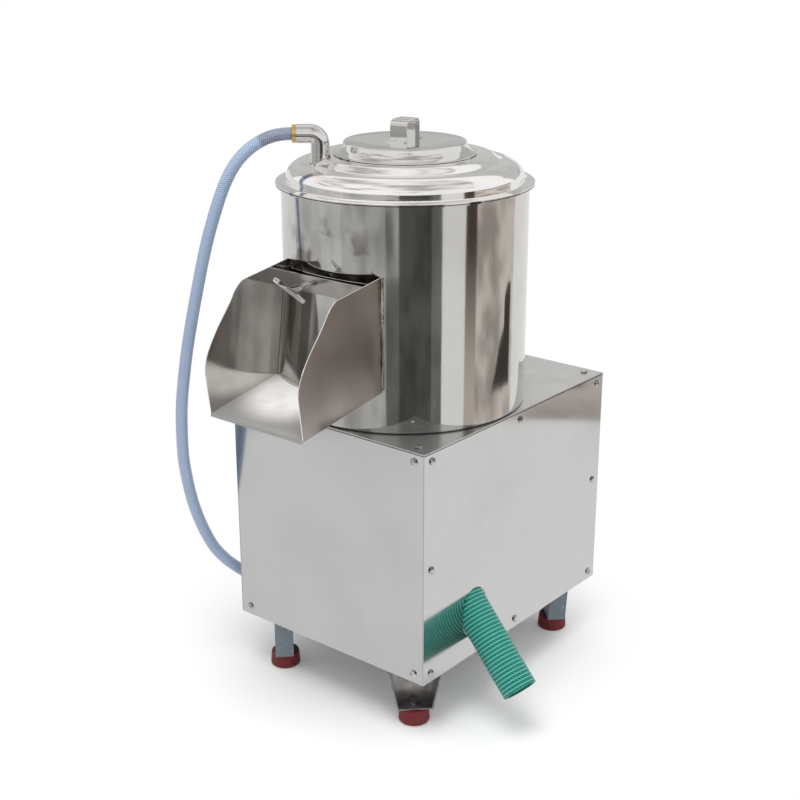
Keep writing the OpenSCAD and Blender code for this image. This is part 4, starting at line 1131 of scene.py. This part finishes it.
    def lid_profile(self) -> list[Spot]:
        """Goes from the rim up a slightly hollow flare to the top, and back under the sheet.

        Returns:
            The lid's section, as distances from the axis and heights.
        """
        t = self.sheet
        flare = []
        for k in range(self.steps + 1):
            share = k / self.steps
            dip = self.lid_sag * math.sin(math.pi * share)
            flare.append((self.lid_wall + (self.lid_top + t - self.lid_wall) * share - dip,
                          t + (self.lid_h - t - t) * share - dip * self.lid_sag_share))
        out, down = self.lid_edge_shares
        top = ([(self.lid_top + t * out, self.lid_h - t * down), (self.lid_top, self.lid_h)]
               + [(self.lid_top * share, self.lid_h) for share in self.lid_ring_shares]
               + [(0.0, self.lid_h), (0.0, self.lid_h - t)])
        under = [(r - t, max(0.0, z - t)) for r, z in flare[::-1]]
        return [(self.lid_rim, 0.0), (self.lid_rim, t)] + flare + top + under

    def build(self, shop: Workshop) -> None:
        """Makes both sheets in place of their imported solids.

        Args:
            shop: maker of meshes and finishes.
        """
        cover = self.turned(shop, "cover_spun", self.cover_profile(), self.low, "cover",
                            "cover_shell")
        self.pierce(cover)
        cover.data.set_sharp_from_angle(angle=math.radians(SHARP_ANGLE))
        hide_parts("cover_shell")
        lid = self.turned(shop, "lid_spun", self.lid_profile(), self.lid_low, "lid_body",
                          "mirror_steel")
        lid.data.set_sharp_from_angle(angle=math.radians(SHARP_ANGLE))
        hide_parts("lid")


@dataclass
class HandleSpots:
    """Spot welds of the lid's handle, whose rings are pairs of a radius and a height."""

    lid_high: float = 0.92690
    spot_out: float = 0.030
    spot_side: float = 0.0075
    handle_turn: float = 13.0
    rings: tuple[Spot, ...] = ((0.0022, -0.0001), (0.0018, 0.0002), (0.0009, 0.0004))
    sides: int = 16

    def build(self, shop: Workshop) -> None:
        """Presses the spot welds.

        Args:
            shop: maker of meshes and finishes.
        """
        turn = math.radians(self.handle_turn)
        for end in (-1, 1):
            for side in (-1, 1):
                out, across = end * self.spot_out, side * self.spot_side
                cx = across * math.cos(turn) - out * math.sin(turn)
                cy = AXIS_Y + across * math.sin(turn) + out * math.cos(turn)
                self.spot(shop, f"spot_handle_{end + 1}{side + 1}", cx, cy)

    def spot(self, shop: Workshop, name: str, x: float, y: float) -> None:
        """Makes one low domed spot weld on a foot of the handle.

        Args:
            shop: maker of meshes and finishes.
            name: the piece's name.
            x: its middle along X.
            y: its middle along Y.
        """
        n = self.sides
        verts: list[Point] = []
        for r, rise in self.rings:
            verts += [(x + r * math.cos(a), y + r * math.sin(a), self.lid_high + rise)
                      for a in (2 * math.pi * i / n for i in range(n))]
        last = len(self.rings) - 1
        faces = [[k * n + i, k * n + (i + 1) % n, (k + 1) * n + (i + 1) % n, (k + 1) * n + i]
                 for k in range(last) for i in range(n)]
        cap = list(range(last * n, (last + 1) * n))
        shop.piece(name, verts, faces + [cap], "weld", "lid_body")


@dataclass(frozen=True)
class Board:
    """A board that only reflections see, standing on an arc round the machine.

    first and last are its ends in degrees from the chute's direction, counted towards +X. lean
    moves the start of its upper edge by so many degrees, and foot is its colour near the floor.
    """

    name: str
    first: float
    last: float
    colour: Colour
    mottle: float = 0.0
    lean: float = 0.0
    low: float = 0.12
    high: float = 1.0
    inward: float = 0.0
    foot: Colour | None = None


@dataclass(frozen=True)
class Screen:
    """A sheet that only reflections see: its corners are its lower row, then its upper row."""

    name: str
    corners: tuple[Point, ...]
    colour: Colour
    mottle: float = 0.0
    foot: Colour | None = None
    clouds: float = 2.6


@dataclass(frozen=True)
class Lamp:
    """A soft square lamp, with its side in metres and its power in watts."""

    name: str
    place: Point
    side: float
    power: float


@dataclass
class Studio:
    """Pale floor, soft lamps and the dark and white boards that polished steel reflects.

    white_span is the distances over which the seen floor turns pure white, near_glow its own glow
    within them and soft the world's brightness where it only lights.
    """

    floor: Colour = (0.93, 0.93, 0.93)
    ring: float = 1.15
    boards: tuple[Board, ...] = (
        Board("light_left", -112, -72, (0.80, 0.80, 0.79)),
        Board("grey_left", -72, -16, (0.62, 0.62, 0.61), 0.25),
        Board("grey_front", -16, 23, (0.50, 0.50, 0.49), 0.35),
        Board("dark_front", 23, 34, (0.165, 0.165, 0.155), 0.3, high=0.50),
        Board("dim_front", 23, 34, (0.44, 0.44, 0.43), 0.65, low=0.50),
        Board("deep_front", 34, 61, (0.10, 0.10, 0.095), 0.45),
        Board("edge_front", 61, 70, (0.19, 0.19, 0.18), 0.3),
        Board("white_front", 70, 91, (0.82, 0.82, 0.82)),
        Board("brown_right", 91, 102, (0.075, 0.058, 0.047), 0.2,
              foot=(0.52, 0.46, 0.415)),
        Board("pale_right", 102, 150, (0.70, 0.635, 0.58), 0.5),
        Board("dark_right", 121, 146, (0.05, 0.05, 0.046), 0.2, 21, 0.21, 0.46, 0.02),
        Board("light_right", 150, 205, (0.88, 0.88, 0.87)))
    screens: tuple[Screen, ...] = (
        Screen("board_roof", ((-2.4, -2.4, 2.5), (2.4, -2.4, 2.5), (-2.4, 1.0, 2.5),
                              (2.4, 1.0, 2.5)), (1.02, 0.99, 0.975), 0.55, clouds=0.9),
        Screen("board_rear", ((-3.0, 0.2, 0.75), (0.9, 3.0, 0.75), (-3.0, 0.2, 2.6),
                              (0.9, 3.0, 2.6)), (0.58, 0.58, 0.575), 0.15),
        Screen("board_floor", ((-2.4, -2.4, 0.001), (0.1, -2.4, 0.001), (-2.4, -0.3, 0.001),
                               (0.1, -0.3, 0.001)), (0.90, 0.90, 0.90)))
    lamps: tuple[Lamp, ...] = (
        Lamp("key", (0.45, -1.0, 3.0), 1.5, 42),
        Lamp("fill", (2.2, -1.2, 2.0), 1.6, 9))
    aim: Point = (0, 0, 0.5)
    board_step: float = 4.0
    cloud_stretch: Point = (1.0, 1.0, 3.0)
    cloud_span: Span = (0.36, 0.6)
    foot_span: Span = (0.18, 0.62)
    reach: float = 40.0
    sunk: float = 0.0005
    white_span: Span = (0.26, 0.56)
    near_glow: float = 0.10
    soft: float = 0.70

    def hang(self, screen: Screen) -> None:
        """Hangs one screen, which glows with its clouded colour.

        Args:
            screen: what it is like.
        """
        mesh = bpy.data.meshes.new(screen.name)
        row = len(screen.corners) // 2
        mesh.from_pydata(screen.corners, [],
                         [(k, k + 1, row + k + 1, row + k) for k in range(row - 1)])
        book = ShadeBook(screen.name)
        shade = tuple(c * (1 - screen.mottle) for c in screen.colour)
        cloud = book.noise(screen.clouds, 4.0, book.stretched(self.cloud_stretch))
        glow = book.mixed(cloud.ramp(*self.cloud_span), shade, screen.colour)
        if screen.foot is not None:
            glow = book.mixed(book.axis("Z").ramp(*self.foot_span), screen.foot, glow)
        book.set(Base_Color=BLACK, Roughness=1.0, Specular_IOR_Level=0.0,
                 Emission_Color=glow, Emission_Strength=1.0)
        mesh.materials.append(book.material)
        made = bpy.data.objects.new(screen.name, mesh)
        bpy.context.scene.collection.objects.link(made)
        made.visible_camera = False
        made.visible_diffuse = False
        made.visible_shadow = False

    def stand(self, board: Board) -> None:
        """Stands one board on its arc.

        Args:
            board: what it is like.
        """
        count = max(2, int((board.last - board.first) / self.board_step))
        ring = self.ring - board.inward
        corners: list[Point] = []
        for z, lean in ((board.low, 0.0), (board.high, board.lean)):
            for k in range(count + 1):
                turn = board.first + lean + (board.last - board.first - lean) * k / count
                way = math.radians(turn)
                corners.append((ring * math.sin(way), AXIS_Y - ring * math.cos(way), z))
        self.hang(Screen(f"board_{board.name}", tuple(corners), board.colour, board.mottle,
                         board.foot))

    def light(self, lamp: Lamp) -> None:
        """Hangs one lamp, aimed at the machine, that no reflection shows.

        Args:
            lamp: where it hangs and how bright it is.
        """
        data = bpy.data.lights.new(lamp.name, "AREA")
        data.size = lamp.side
        data.energy = lamp.power
        made = bpy.data.objects.new(lamp.name, data)
        made.location = lamp.place
        way = Vector(self.aim) - Vector(lamp.place)
        made.rotation_euler = way.to_track_quat("-Z", "Y").to_euler()
        bpy.context.scene.collection.objects.link(made)
        made.visible_glossy = False

    def surround(self) -> None:
        """Sets the world: white where it is seen or mirrored and softer where it only lights."""
        world = bpy.data.worlds.new("studio")
        bpy.context.scene.world = world
        world.use_nodes = True
        book = NodeBook(world.node_tree, "BACKGROUND")
        seen: Value = 0.0
        for kind in SEEN_RAYS:
            seen = book.node("ShaderNodeLightPath", output=kind).larger(seen)
        level = book.node("ShaderNodeMapRange", None, {
            "Value": seen, "To Min": self.soft, "To Max": 1.0})
        book.wire(book.shader.inputs["Strength"], level)
        book.wire(book.shader.inputs["Color"], (*WHITE, 1.0))

    def build(self) -> None:
        """Sets the world, the floor, the lamps and the boards."""
        bpy.context.scene.view_settings.view_transform = "Standard"
        self.surround()
        self.ground()
        for lamp in self.lamps:
            self.light(lamp)
        for board in self.boards:
            self.stand(board)
        for screen in self.screens:
            self.hang(screen)

    def ground(self) -> None:
        """Lays the floor, which shows white round the object's shadow."""
        mesh = bpy.data.meshes.new("floor")
        r = self.reach
        mesh.from_pydata([(-r, -r, 0), (r, -r, 0), (r, r, 0), (-r, r, 0)], [], [(0, 1, 2, 3)])
        book = ShadeBook("floor")
        seen: Value = 0.0
        for kind in SEEN_RAYS:
            seen = book.node("ShaderNodeLightPath", output=kind).larger(seen)
        far = book.away((0.0, 0.0, 0.0)).ramp(*self.white_span) * seen
        near = book.mixed(seen, BLACK, (self.near_glow,) * 3)
        book.set(Base_Color=book.mixed(far, self.floor, BLACK), Roughness=0.9,
                 Specular_IOR_Level=0.0, Emission_Strength=1.0,
                 Emission_Color=book.mixed(far, near, WHITE))
        mesh.materials.append(book.material)
        floor = bpy.data.objects.new("floor", mesh)
        floor.location = (0, 0, -self.sunk)
        bpy.context.scene.collection.objects.link(floor)


def main() -> None:
    """Builds the scene in order."""
    logging.basicConfig(level=logging.INFO, format="%(name)s: %(message)s")
    Viewpoint().build()
    shop = Workshop()
    WaterHose().build(shop)
    DrainHose().build(shop)
    shop.dress_nodes()
    ChuteWelds().build(shop)
    TurnedTop().build(shop)
    HandleSpots().build(shop)
    Studio().build()


if __name__ == "__main__":
    main()
